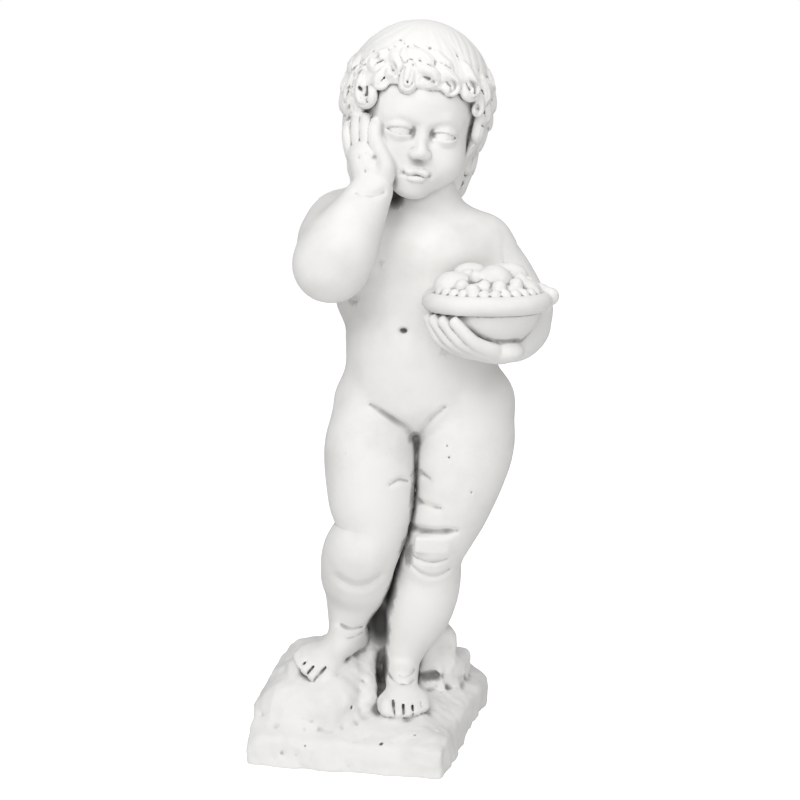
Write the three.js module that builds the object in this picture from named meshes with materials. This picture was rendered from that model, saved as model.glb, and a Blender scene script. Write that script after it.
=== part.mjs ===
// Cherub garden statue: a chubby child standing on a rough rock, one hand raised to the ear and the
// other arm round a bowl of fruit. It is cast in one piece, so it is one closed solid.
// Millimetres, +Z up. The child faces -Y, and +X is on the viewer's right. Right and left in the
// names below are the child's own. The origin is on the ground under the middle of the statue.
//
// The statue is modelled as clay: rounded shapes melt into each other on a grid of distances, the
// surface where the distance is zero is skinned with marching cubes, and the skin is then thinned
// to few triangles, which stay where the form bends most.
import * as THREE from "three";
import { triTable } from "three/addons/objects/MarchingCubes.js";

// Driving dimensions
const STATUE_HEIGHT = 700;
const GRID_CELL = 2;
const TRIANGLES = 9600;
const STONE = { color: 0xdddbd5, roughness: 0.9, metalness: 0 };

// Landmarks of the pose: the middle of each joint. RIGHT and LEFT are the child's own.
const RIGHT = {
  shoulder: [-52, -2, 503],
  elbow: [-63, -62, 479],
  wrist: [-26, -53, 543],
  hip: [-24, 2, 322],
  knee: [-39, -12, 190],
  ankle: [-53, 6, 113],
  heel: [-58, 10, 86],
  footTurn: [-28, 6, 32],
};
const LEFT = {
  shoulder: [80, 2, 484],
  elbow: [119, -14, 430],
  wrist: [93, -76, 402],
  hip: [65, 3, 326],
  knee: [31, -8, 188],
  ankle: [0, 2, 72],
  heel: [2, 2, 47.5],
  footTurn: [2, 4, -4],
};
const HEAD_PLACE = [13, -4, 600];
const HEAD_TURN = [8, 6, 8]; // turned to the child's left, nodding, tilting to the child's left
const NECK = { from: [26, 8, 520], to: [22, 3, 566], radii: [30, 27] };
const BOWL = { centre: [79, -76, 445], rim: 51, lip: 8.5, depth: 44 };
const CAP = { centre: [1.5, 11, 25], size: [71, 73, 74.5] }; // the mass of hair, from the head's middle
const EYE = { aside: 20, front: -43.5, radius: 11.5, lid: 14.2 };
const SLAB_TOP = 43; // the height of the rock's lowest step

const FLAT_BELOW = 0.1; // lower points than this are on the ground
const FAR = 1000; // the distance held where no shape has reached
const NEAR = 10; // how far round a shape its distances are written
const WIDE = 24; // the same for limbs, which melt into the body by broad fillets
const degrees = THREE.MathUtils.degToRad;
const clamp = THREE.MathUtils.clamp;
const SIDES = [-1, 1];
const CORNERS = [[0, 0, 0], [1, 0, 0], [1, 1, 0], [0, 1, 0], [0, 0, 1], [1, 0, 1], [1, 1, 1], [0, 1, 1]];

// Numbers and points

const mix = (a, b, share) => a + (b - a) * share;
const mixPoints = (a, b, share) => a.map((value, i) => mix(value, b[i], share));
const plus = (a, b) => a.map((value, i) => value + b[i]);
const smoothStep = (low, high, value) => THREE.MathUtils.smoothstep(value, low, high);
const span = (from, to, count) => Array.from({ length: count }, (_, i) => mix(from, to, i / (count - 1)));

// The smaller of two distances, with a fillet of the given size where they are close.
function melt(a, b, blend) {
  if (blend <= 0) return Math.min(a, b);
  const share = Math.max(blend - Math.abs(a - b), 0) / blend;
  return Math.min(a, b) - (share * share * blend) / 4;
}

// A rigid frame: a place, turned by degrees about Z, then about its own X, then about its own Y.
function frameAt([x, y, z], [turn, nod, tilt] = [0, 0, 0]) {
  const euler = new THREE.Euler(degrees(nod), degrees(tilt), degrees(turn), "ZXY");
  return new THREE.Matrix4().makeRotationFromEuler(euler).setPosition(x, y, z);
}

const through = (frame, point) => new THREE.Vector3(...point).applyMatrix4(frame).toArray();

function boxRound(points, radius) {
  const box = new THREE.Box3();
  points.forEach((point) => box.expandByPoint(new THREE.Vector3(...point)));
  return box.expandByScalar(radius);
}

// Shapes: each has a box, and gives the distance from a point to its surface, negative inside.

// A shape drawn in a frame of its own.
function placed(shape, frame) {
  const m = frame.clone().invert().elements;
  return {
    box: shape.box.clone().applyMatrix4(frame),
    at: (x, y, z) =>
      shape.at(
        m[0] * x + m[4] * y + m[8] * z + m[12],
        m[1] * x + m[5] * y + m[9] * z + m[13],
        m[2] * x + m[6] * y + m[10] * z + m[14],
      ),
  };
}

function ball(centre, size, angles) {
  const [rx, ry, rz] = Array.isArray(size) ? size : [size, size, size];
  const shape = {
    box: new THREE.Box3(new THREE.Vector3(-rx, -ry, -rz), new THREE.Vector3(rx, ry, rz)),
    at: (x, y, z) => {
      const inside = Math.sqrt((x / rx) ** 2 + (y / ry) ** 2 + (z / rz) ** 2);
      const slope = Math.sqrt((x / (rx * rx)) ** 2 + (y / (ry * ry)) ** 2 + (z / (rz * rz)) ** 2);
      return slope < 1e-9 ? -Math.min(rx, ry, rz) : (inside * (inside - 1)) / slope;
    },
  };
  return placed(shape, frameAt(centre, angles));
}

// A cone with round ends.
function bone(from, to, startRadius, endRadius) {
  const [ax, ay, az] = from;
  const [dx, dy, dz] = [to[0] - ax, to[1] - ay, to[2] - az];
  const length = Math.max(Math.sqrt(dx * dx + dy * dy + dz * dz), 1e-6);
  const slope = clamp((startRadius - endRadius) / length, -0.99, 0.99);
  const spread = slope / Math.sqrt(1 - slope * slope);
  return {
    box: boxRound([from, to], Math.max(startRadius, endRadius)),
    at: (x, y, z) => {
      const [px, py, pz] = [x - ax, y - ay, z - az];
      const along = (px * dx + py * dy + pz * dz) / length;
      const aside = Math.sqrt(Math.max(px * px + py * py + pz * pz - along * along, 0));
      const foot = clamp(along + aside * spread, 0, length);
      return Math.sqrt(aside * aside + (along - foot) ** 2) - (startRadius - slope * foot);
    },
  };
}

const smoothCurve = (points) =>
  new THREE.CatmullRomCurve3(points.map((point) => new THREE.Vector3(...point)), false, "catmullrom");

// Short cones end to end along a smooth curve through the points, each point with its own radius.
function strand(points, radii, steps = 8) {
  const path = smoothCurve(points);
  const swelling = smoothCurve(radii.map((radius) => [radius, 0, 0]));
  const places = span(0, 1, (points.length - 1) * steps + 1).map((share) => ({
    point: path.getPoint(share).toArray(),
    radius: swelling.getPoint(share).x,
  }));
  return together(
    places.slice(1).map((place, i) => bone(places[i].point, place.point, places[i].radius, place.radius)),
  );
}

function together(pieces) {
  const box = new THREE.Box3();
  pieces.forEach((piece) => box.union(piece.box));
  return { box, pieces, at: (x, y, z) => Math.min(...pieces.map((piece) => piece.at(x, y, z))) };
}

// A shape with another taken away.
const carved = (shape, hollow) => ({
  box: shape.box,
  at: (x, y, z) => Math.max(shape.at(x, y, z), -hollow.at(x, y, z)),
});

// Two shapes melted into one.
const melted = (one, two, blend) => ({
  box: one.box.clone().union(two.box),
  at: (x, y, z) => melt(one.at(x, y, z), two.at(x, y, z), blend),
});

// A box with rounded edges.
function block(centre, half, angles, round) {
  const [hx, hy, hz] = half.map((value) => value - round);
  const shape = {
    box: new THREE.Box3(new THREE.Vector3(...half).negate(), new THREE.Vector3(...half)),
    at: (x, y, z) => {
      const [qx, qy, qz] = [Math.abs(x) - hx, Math.abs(y) - hy, Math.abs(z) - hz];
      const outside = Math.sqrt(Math.max(qx, 0) ** 2 + Math.max(qy, 0) ** 2 + Math.max(qz, 0) ** 2);
      return outside + Math.min(Math.max(qx, qy, qz), 0) - round;
    },
  };
  return placed(shape, frameAt(centre, angles));
}

// A ring lying flat.
function ring([cx, cy, cz], radius, thickness) {
  return {
    box: boxRound([[cx, cy, cz]], radius + thickness),
    at: (x, y, z) => Math.hypot(Math.hypot(x - cx, y - cy) - radius, z - cz) - thickness,
  };
}

// Clay: a grid of distances that shapes are added to and cut from.
class Clay {
  constructor(low, high, reach = NEAR) {
    this.reach = reach;
    this.start = low.map((value) => Math.floor(value / GRID_CELL));
    this.count = high.map((value, axis) => Math.ceil(value / GRID_CELL) - this.start[axis] + 1);
    this.values = new Float32Array(this.count[0] * this.count[1] * this.count[2]).fill(FAR);
  }

  index(i, j, k) {
    return i + this.count[0] * (j + this.count[1] * k);
  }

  // The grid lies half a cell off the round numbers, so that the ground falls between two layers.
  place(step, axis) {
    return (step + this.start[axis] + 0.5) * GRID_CELL;
  }

  step(value, axis) {
    return value / GRID_CELL - this.start[axis] - 0.5;
  }

  // Changes the value at each grid point in and round a box.
  visit(box, reach, change) {
    const within = (step, axis) => clamp(step, 0, this.count[axis] - 1);
    const [from, to] = [box.min.toArray(), box.max.toArray()];
    const low = from.map((value, axis) => within(Math.floor(this.step(value - reach, axis)), axis));
    const high = to.map((value, axis) => within(Math.ceil(this.step(value + reach, axis)), axis));
    for (let k = low[2]; k <= high[2]; k++)
      for (let j = low[1]; j <= high[1]; j++)
        for (let i = low[0]; i <= high[0]; i++) {
          const n = this.index(i, j, k);
          this.values[n] = change(this.values[n], this.place(i, 0), this.place(j, 1), this.place(k, 2));
        }
  }

  add(shape, blend = 0) {
    const reach = Math.max(this.reach, blend);
    if (shape.pieces && blend === 0) shape.pieces.forEach((piece) => this.add(piece));
    else this.visit(shape.box, reach, (value, x, y, z) => melt(value, shape.at(x, y, z), blend));
    return this;
  }

  cut(shape, blend = 0) {
    const reach = Math.max(this.reach, blend);
    this.visit(shape.box, reach, (value, x, y, z) => -melt(-value, shape.at(x, y, z), blend));
    return this;
  }

  // Melts in clay that was modelled apart. The blend is a number, or is worked out from the place.
  join(other, blend = 0) {
    const blendAt = typeof blend === "function" ? blend : () => blend;
    const shift = other.start.map((value, axis) => value - this.start[axis]);
    for (let k = 0; k < other.count[2]; k++)
      for (let j = 0; j < other.count[1]; j++)
        for (let i = 0; i < other.count[0]; i++) {
          const value = other.values[other.index(i, j, k)];
          if (value >= FAR) continue;
          const n = this.index(i + shift[0], j + shift[1], k + shift[2]);
          const width = blendAt(other.place(i, 0), other.place(j, 1), other.place(k, 2));
          this.values[n] = melt(this.values[n], value, width);
        }
    return this;
  }

  // The first surface met from the front at this x and z.
  front(x, z) {
    const i = Math.round(this.step(x, 0));
    const k = Math.round(this.step(z, 2));
    for (let j = 1; j < this.count[1]; j++) {
      const [before, here] = [this.values[this.index(i, j - 1, k)], this.values[this.index(i, j, k)]];
      if (here < 0) return [x, this.place(j - 1 + before / (before - here), 1), z];
    }
    throw new Error(`no clay at x ${x}, z ${z}`);
  }

  // Presses a groove into the front of the clay, through points given by their x and z.
  groove(places, width, blend = 3) {
    const points = places.map(([x, z]) => this.front(x, z));
    const radii = points.map((_, i) => width * (i === 0 || i === points.length - 1 ? 0.5 : 1));
    return this.cut(strand(points, radii), blend);
  }
}

// Torso: pelvis, belly, ribs and shoulders of a plump child, leaning onto the left leg

function torso(clay) {
  clay.add(ball([23, 5, 345], [84, 50, 46])); // pelvis
  clay.add(ball([12, -6, 400], [64, 52, 62]), 26); // belly
  clay.add(ball([14, 1, 458], [70, 44, 60]), 24); // ribs
  clay.add(ball([36, 8, 388], [54, 38, 60]), 18); // left flank
  for (const x of [-18, 54]) clay.add(ball([x, 30, 320], [44, 38, 44]), 12); // buttocks
  clay.add(ball([-25, 6, 441], [37, 30, 34]), 10); // right flank
  clay.add(strand([[-44, 3, 500], [28, 6, 512], [70, 2, 493]], [29, 27, 26]), 14); // shoulder yoke
  for (const x of [-6, 46]) clay.add(ball([x, -24, 486], [33, 21, 25]), 16); // breast
  clay.add(strand([NECK.from, NECK.to], NECK.radii), 16);
  clay.cut(strand([[30, 56, 500], [24, 52, 430], [18, 56, 380]], [5, 4, 3]), 14); // furrow of the spine
  for (const x of [-14, 62]) clay.add(ball([x, 30, 482], [26, 12, 28]), 12); // shoulder blades
  return clay;
}

// Legs: each is a strand of fat rounds down to a narrow ankle, with a kneecap and a calf

function rightLeg() {
  const clay = new Clay([-105, -85, 60], [40, 80, 385], WIDE);
  const thigh = [RIGHT.hip, [-29, -4, 293], [-28, -11, 248], [-26, -16, 220], RIGHT.knee, [-43, -2, 166]];
  clay.add(strand(thigh, [40, 44.5, 42, 34.5, 37, 34.5]));
  const shin = [[-42, 2, 168], [-44, 7, 150], [-49, 7, 130], RIGHT.ankle];
  clay.add(strand(shin, [34, 30.5, 23.5, 18]), 6);
  clay.add(ball([-38, -32, 196], [23, 16, 21]), 10); // kneecap
  clay.add(ball([-46, 16, 166], [30, 24, 32]), 8); // calf
  return clay;
}

function leftLeg() {
  const clay = new Clay([-40, -80, 35], [135, 80, 385], WIDE);
  const thigh = [LEFT.hip, [63, -2, 293], [53, -8, 246], [42, -10, 216], LEFT.knee];
  clay.add(strand(thigh, [46, 47, 38.5, 33, 28.5]));
  const shin = [[31, -6, 190], [28, 4, 164], [23, 6, 142], [17, 6, 122], [8, 4, 98], LEFT.ankle];
  clay.add(strand(shin, [28, 32.5, 34, 31, 22.5, 16.5]), 6);
  clay.add(ball([34, -27, 198], [18, 12, 13]), 8); // kneecap
  clay.add(ball([24, 18, 152], [27, 22, 34]), 12); // calf
  return clay;
}

const RIGHT_FOOT = frameAt(RIGHT.heel, RIGHT.footTurn);
const LEFT_FOOT = frameAt(LEFT.heel, LEFT.footTurn);
// Each toe from the big one outwards: its place across the foot, how far it reaches, its radius
const TOES = [[16, -71, 7], [5.2, -74.5, 5.2], [-3.9, -73, 4.8], [-12.2, -69.5, 4.6], [-19.8, -63.5, 4.4]];

// A bare foot pointing to -Y from its heel, with the big toe on the given side
function foot(clay, frame, bigToeSide) {
  const at = (point) => through(frame, point);
  clay.add(strand([[0, 4, 15], [0, -20, 17], [0, -42, 11]].map(at), [16, 16, 12]), 8); // instep
  clay.add(ball(at([0, 10, 14]), [16, 17, 15]), 6); // heel
  clay.add(placed(ball([0, -46, 8], [25, 20, 11]), frame), 8); // ball of the foot
  clay.add(placed(ball([0, -56, 4.5], [25, 17, 6.5]), frame), 6); // under the toes
  for (const [across, reach, radius] of TOES) {
    const x = bigToeSide * across;
    const toe = [[x * 0.9, -49, 10.5], [x, reach + 12, radius + 2.6], [x, reach + radius, radius]];
    clay.add(strand(toe.map(at), [radius * 0.9, radius, radius * 0.94]), 1.6);
  }
  for (let toe = 1; toe < TOES.length; toe++) {
    const [[x1, y1, r1], [x2, y2, r2]] = [TOES[toe - 1], TOES[toe]];
    const x = (bigToeSide * (x1 * r2 + x2 * r1)) / (r1 + r2);
    const [front, depth] = [(y1 + y2) / 2, (r1 + r2) / 2];
    const gap = [[x, front + 18, depth + 9], [x, front + 12, depth + 7]];
    gap.push([x, front + 3, depth + 3], [x, front, 1]);
    clay.cut(strand(gap.map(at), [0.8, 1.3, 1.5, 1.2]), 1);
  }
}

// The right arm: the elbow points down and forward, and the hand lies against the ear
function rightArm() {
  const clay = new Clay([-125, -125, 420], [35, 65, 645], WIDE);
  clay.add(strand([RIGHT.shoulder, [-60, -30, 494], RIGHT.elbow], [40, 36, 31]));
  const forearm = [[-63, -70, 476], [-51, -70, 496], [-40, -63, 517], RIGHT.wrist];
  clay.add(strand(forearm, [29.5, 29.5, 26, 19.5]), 20);
  clay.add(strand([[-24, -50, 548], [-27, -47, 560], [-31, -46, 574]], [16, 18, 17]), 3); // palm
  const roots = [[-43, -42, 577], [-21, -54, 577]];
  const tips = [[-46, -34, 606], [-24, -46, 609]];
  const [bow, radius] = [[-1, -5, 3], 6];
  for (const share of span(0, 1, 4)) {
    const [root, tip] = [mixPoints(...roots, share), mixPoints(...tips, share)];
    const middle = plus(mixPoints(root, tip, 0.5), bow);
    clay.add(strand([root, middle, tip], [radius, radius, radius * 0.85]), 1.2); // finger
  }
  clay.add(strand([[-14, -57, 556], [-13, -62, 568], [-20, -58, 586]], [9, 7, 5.5]), 3); // thumb
  return clay;
}

// The left arm: it hangs from the shoulder and bends round under the bowl
function leftArm() {
  const clay = new Clay([-5, -148, 360], [164, 60, 545], WIDE);
  clay.add(strand([LEFT.shoulder, [98, -4, 461], LEFT.elbow], [29.5, 28.5, 25]));
  clay.add(strand([[119, -15, 428], [118, -36, 416], [108, -58, 406], LEFT.wrist], [24, 23, 19, 14]), 8);
  clay.add(ball([83, -90, 403], [31, 22, 13], [-30, 0, 4]), 12); // palm
  // The fingers slant up round the bowl: the turn from the tip, the radius and the rise of each joint.
  const joints = [[62, 22, -44], [42, 36, -41], [18, 48, -32], [0, 54, -15]];
  for (const tip of span(192, 236, 4)) {
    const points = joints.map(([turn, radius, rise]) => plus(aroundBowl(tip + turn, radius), [0, 0, rise]));
    clay.add(strand(points, [8, 7, 6.2, 5.4]), 1); // finger
  }
  return clay;
}

// Bowl of fruit

// A point level with the rim, by its bearing from +X and its distance from the middle.
function aroundBowl(bearing, radius) {
  return plus(BOWL.centre, [radius * Math.cos(degrees(bearing)), radius * Math.sin(degrees(bearing)), 0]);
}

function bowlOfFruit() {
  const clay = new Clay([0, -150, 385], [160, 5, 505]);
  const inBowl = (offset) => plus(BOWL.centre, offset);
  clay.add(ball(BOWL.centre, [BOWL.rim, BOWL.rim, BOWL.depth]));
  clay.cut(block(inBowl([0, 0, 52]), [80, 80, 50], [0, 0, 0], 1)); // all above the rim
  clay.add(ring(BOWL.centre, BOWL.rim, BOWL.lip));
  clay.add(ball(inBowl([-2, 0, 4]), [48, 47, 17]), 2); // the heap under the fruit
  // Each fruit, by its offset from the middle of the rim and its size
  const fruit = [
    [[-30, -10, 14], [19, 17, 14]],
    [[-14, 12, 22], [17, 15, 12]],
    [[6, -15, 19], [16, 15, 15]],
    [[22, 16, 20], [17, 14, 13]],
    [[34, -10, 11], [14, 13, 10]],
    [[48, 6, 7], [11, 11, 9]],
    [[58, 2, 4], [8, 8, 8.5]],
    [[-8, -30, 10], [12, 10, 9]],
    [[22, -30, 9], [11, 9, 8]],
  ];
  for (const [offset, size] of fruit) clay.add(ball(inBowl(offset), size), 2);
  const berries = span(192, 348, 14).map((bearing) => plus(aroundBowl(bearing, 46), [0, 0, 9.5]));
  for (const berry of berries) clay.add(ball(berry, 5), 1);
  clay.cut(ball(inBowl([2, -22, 36]), [3.5, 3.5, 4]), 3); // hollow at the round fruit's stalk
  return clay;
}

// Head: drawn about its own middle, and set on the neck

const HEAD = frameAt(HEAD_PLACE, HEAD_TURN);
const HAIR = melted(ball(CAP.centre, CAP.size), ball([6, 25, -28], [60, 47, 60]), 18);
const head = (shape) => placed(shape, HEAD);

// Lids over an eyeball, open between them like a slice of an orange by the angles given
function eyelids(centre, radius, upper, lower) {
  const [up, down] = [degrees(upper), degrees(lower)];
  const slit = stone(
    [
      [[0, Math.sin(up), Math.cos(up)], 0],
      [[0, Math.sin(down), -Math.cos(down)], 0],
    ],
    [[-radius, -radius - 3, -radius], [radius, 0, radius]],
    0,
  );
  return placed(carved(ball([0, 0, 0], radius), slit), frameAt(centre));
}

function face(clay) {
  const add = (shape, blend) => clay.add(head(shape), blend);
  add(ball([0, 12, 22], [57, 66, 62])); // skull
  add(ball([0, -17, 27], [46, 42, 39]), 12); // forehead
  add(ball([0, -12, -17], [47, 44, 42]), 16); // jaw
  add(ball([0, -40, -49], [17, 15, 12]), 14); // chin
  add(ball([0, -48, -37], [15, 10, 11]), 8); // round of the mouth
  for (const side of SIDES) {
    const eye = [side * EYE.aside, EYE.front, 0];
    add(ball([side * 24, -33, -24], [20, 20, 19]), 14); // cheek
    clay.cut(head(ball([eye[0], -66, 3], [13, 12, 9])), 10); // socket
    add(ball(eye, EYE.radius), 1);
    add(eyelids(eye, EYE.lid, 22, 16), 1);
    add(strand([[side * 9, -52, 13], [side * 20, -51, 16], [side * 32, -43, 12]], [3, 4, 3]), 8); // brow
    add(ball([side * 6, -58, -18.5], [4.6, 5.4, 4]), 2.5); // wing of the nose
  }
  add(strand([[0, -50, 9], [0, -54, -1], [0, -58, -10], [0, -61, -16]], [3.6, 3.8, 4.4, 5.8]), 5); // nose
  for (const side of SIDES) add(ball([side * 4.8, -57.5, -33.8], [8.6, 5.2, 3.4], [0, 0, side * 12]), 2);
  add(ball([0, -56.5, -40.2], [9, 5.6, 3.8]), 0.5); // lower lip
  for (const side of SIDES) clay.cut(head(ball([side * 13, -58, -36.6], [2.4, 4, 2.2])), 4); // mouth's corner
  return clay;
}

// A point on the mass of hair, by its bearing from the front and its height as angles.
function onHair(bearing, height, lift = 0) {
  const [b, h] = [degrees(bearing), degrees(height)];
  const way = [Math.sin(b) * Math.cos(h), -Math.cos(b) * Math.cos(h), Math.sin(h)];
  const along = (distance) => CAP.centre.map((value, axis) => value + way[axis] * distance);
  let [near, far] = [30, 130];
  while (far - near > 0.1) {
    const middle = (near + far) / 2;
    if (HAIR.at(...along(middle)) < lift) near = middle;
    else far = middle;
  }
  return along(near);
}

// A lock of hair that flows down, swells, and ends in a hook that turns to the given side. Its
// place and length are in degrees round the head, and its hook and thickness are in millimetres.
function lock([bearing, height], length, hook, thickness, side, lift = 0) {
  const degree = degrees(CAP.size[0]);
  const stem = span(0, 1, 3).map((t) => [-side * 0.45 * length * (1 - t) ** 2, length * (1 - t)]);
  const curl = span(40, 250, 6).map((turn) => {
    const radius = (hook / degree) * (1 - turn / 520);
    return [side * (hook / degree - radius * Math.cos(degrees(turn))), -radius * Math.sin(degrees(turn))];
  });
  const points = [...stem, ...curl].map(([across, up]) =>
    onHair(bearing + across / Math.cos(degrees(height + up)), height + up, lift - thickness * 0.42),
  );
  const swelling = [0.35, 0.8, 1, 1, 0.95, 0.86, 0.76, 0.62, 0.45];
  return head(strand(points, swelling.map((share) => share * thickness), 3));
}

function hair(clay) {
  const cap = new Clay([-90, -100, 480], [120, 120, 715]);
  cap.add(head(HAIR));
  cap.cut(head(block([0, -70, -37], [60, 58, 78], [0, 0, 0], 34)), 3); // the opening for the face
  const rows = [
    { height: 17, from: 72, to: 284, count: 13, side: 1 },
    { height: -2, from: 80, to: 286, count: 13, side: -1 },
    { height: -22, from: 76, to: 288, count: 13, side: 1 },
    { height: -43, from: 84, to: 284, count: 11, side: -1 },
    { height: -64, from: 90, to: 276, count: 8, side: 1 },
  ];
  for (const { height, from, to, count, side } of rows)
    span(from, to, count).forEach((bearing, i) => {
      const [aside, above, turn] = [1, 2, 3].map((draw) => chance(i, height, draw) - 0.5);
      cap.add(lock([bearing + 7 * aside, height + 7 * above], 21, 6, 7.2, turn < 0.2 ? side : -side), 1.2);
    });
  // The fringe: the bearing, height, hook and thickness of each lock, and the way it turns
  const fringe = [
    [-55, 13, 6.5, 6.4, 1], [-37, 19, 6.5, 6.2, -1], [-20, 20, 5.5, 6, 1], [-5, 18, 2.5, 7.6, 1],
    [11, 18, 5.5, 6, 1], [25, 18, 5.5, 6, 1], [39, 16, 5.5, 6, 1], [55, 9, 7, 6.4, 1],
  ];
  fringe.forEach(([bearing, height, hook, thickness, side], i) => {
    cap.add(lock([bearing + side * 8, height + 19], 16, 5.4, 6.2, -side, -0.6), 1.2);
    cap.add(lock([bearing, height], 18, hook, thickness, side, 0.6 + (i % 2) * 1.2), 1);
  });
  cap.add(lock([-53, -4], 20, 8, 6.8, 1, 0.8), 1); // the long lock beside the right temple
  cap.add(lock([65, -8], 20, 7, 6.6, -1), 1);
  return clay.join(cap, 1.5);
}

// Rock

// A stone bounded by planes, each given by an outward direction and its distance, softly bevelled.
function stone(planes, box, bevel) {
  const walls = planes.map(([way, distance]) => [...new THREE.Vector3(...way).normalize(), distance]);
  return {
    box: boxRound(box, 0),
    at(x, y, z) {
      const within = walls.map(([a, b, c, distance]) => distance - a * x - b * y - c * z);
      return within.reduce((most, depth) => -melt(-most, depth, bevel), -FAR);
    },
  };
}

// Random numbers from 0 to 1 at the corners of unit cells, and their smooth mix in between
const chance = (i, j, k) => {
  const scattered = Math.sin(i * 127.1 + j * 311.7 + k * 74.7) * 43758.5453;
  return scattered - Math.floor(scattered);
};

function cloud(x, y, z) {
  const cell = [x, y, z].map(Math.floor);
  const share = [x, y, z].map((value, axis) => smoothStep(0, 1, value - cell[axis]));
  let total = 0;
  for (const [i, j, k] of CORNERS) {
    const weights = [i, j, k].map((corner, axis) => (corner ? share[axis] : 1 - share[axis]));
    total += weights[0] * weights[1] * weights[2] * chance(cell[0] + i, cell[1] + j, cell[2] + k);
  }
  return total;
}

// Hollows and swellings of rough stone, from broad to small
const ROUGHNESS = [[34, 5], [15, 2.6], [7, 1]]; // the breadth and depth of each kind

function rough(x, y, z) {
  const swelling = ([breadth, depth]) => depth * (cloud(x / breadth, y / breadth, z / breadth) - 0.5);
  return ROUGHNESS.reduce((sum, kind) => sum + swelling(kind), 0);
}

function rock() {
  const clay = new Clay([-175, -140, -8], [130, 155, 235]);
  const front = [-0.193, -0.981];
  const right = [0.966, -0.259];
  const left = [-0.9615, 0.2747];
  const slab = stone(
    [
      [[...front, 0], 106],
      [[...right, 0], 67],
      [[0.22, 0.975, 0], 108],
      [[...left, 0], 122],
      [[0, 0, 1], SLAB_TOP],
      [[front[0] * 0.33, front[1] * 0.33, 0.94], 62],
      [[-0.5, -0.6, 0.62], 131],
      [[right[0] * 0.42, right[1] * 0.42, 0.9], 56],
    ],
    [[-168, -135, -6], [125, 150, 60]],
    5,
  );
  clay.add(slab);
  clay.add(block([-77, -1, 39], [52, 71, 44], [-13, 9, -12], 30), 12); // mound under the right foot
  clay.add(block([-38, 0, 48], [15, 50, 32], [-4, 27, 4], 11), 5); // ridge between the feet
  clay.add(strand([[-4, 46, 50], [-8, 42, 120], [-5, 31, 188]], [37, 31, 19]), 8); // stump behind the legs
  clay.add(block([33, 38, 70], [20, 24, 31], [14, -4, 6], 9), 4);
  clay.add(block([49, 52, 45], [18, 26, 25], [-18, 4, 8], 9), 4);
  clay.add(placed(block([0, -22, -20], [26, 42, 18], [0, 0, 0], 12), RIGHT_FOOT), 12);
  clay.add(placed(block([0, -22, -11], [22, 46, 10], [0, 0, 0], 6), LEFT_FOOT), 10);
  const everywhere = boxRound([[-168, -135, -6], [125, 150, 225]], 0);
  clay.visit(everywhere, 0, (value, x, y, z) => (value >= FAR ? value : value + rough(x, y, z)));
  return clay;
}

// The whole statue in clay

function statueClay() {
  const clay = new Clay([-180, -160, -10], [175, 165, 720]);
  torso(clay);
  // The thighs melt into the hips at the sides and in front, and stay parted between the legs.
  const hipBlend = (x, y, z) => mix(4, 16, smoothStep(20, 62, Math.abs(x - 16))) * smoothStep(240, 290, z);
  clay.join(rightLeg(), hipBlend);
  clay.join(leftLeg(), hipBlend);
  clay.join(face(new Clay([-60, -95, 520], [100, 95, 705])), 6);
  hair(clay);
  const shoulderBlend = (shoulder) => (x, y, z) =>
    mix(24, 3, smoothStep(36, 84, Math.hypot(x - shoulder[0], y - shoulder[1], z - shoulder[2])));
  clay.join(rightArm(), shoulderBlend([-46, 6, 500]));
  clay.join(bowlOfFruit(), 1.5);
  clay.join(leftArm(), shoulderBlend([82, 6, 494]));
  foot(clay, RIGHT_FOOT, 1);
  foot(clay, LEFT_FOOT, -1);
  details(clay);
  clay.join(rock(), 2);
  clay.cut(block([0, 0, -50], [400, 400, 50], [0, 0, 0], 0.01)); // the ground
  return clay;
}

// Folds and dimples, by the x and z where they show from the front
function details(clay) {
  clay.groove([[-28, 342], [-10, 330], [6, 318], [15, 306]], 2.8); // groin
  clay.groove([[42, 340], [30, 328], [22, 316], [15, 306]], 2.8);
  clay.cut(ball(clay.front(3, 415), [4.5, 5, 3.2]), 3); // navel
  clay.groove([[12, 247], [24, 245], [38, 243]], 2.2); // folds over the left knee
  clay.groove([[10, 218], [32, 219], [54, 219]], 2.6);
  clay.add(block(plus(clay.front(31, 206), [0, 3.6, 0]), [16, 5, 8.5], [0, 8, 3], 4.5), 7); // kneecap
  clay.groove([[11, 181], [29, 172], [48, 178]], 1.8);
  clay.groove([[-58, 117], [-48, 113.5], [-37, 113]], 1.8); // creases of the ankles
  clay.groove([[-15, 70.5], [0, 68.5], [15, 68]], 1.8);
}

// Skinning: marching cubes over the grid, with each vertex shared

const EDGES = [
  [0, 1], [1, 2], [2, 3], [3, 0], [4, 5], [5, 6], [6, 7], [7, 4], [0, 4], [1, 5], [2, 6], [3, 7],
]; // the corners that each edge of a cell joins

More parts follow.
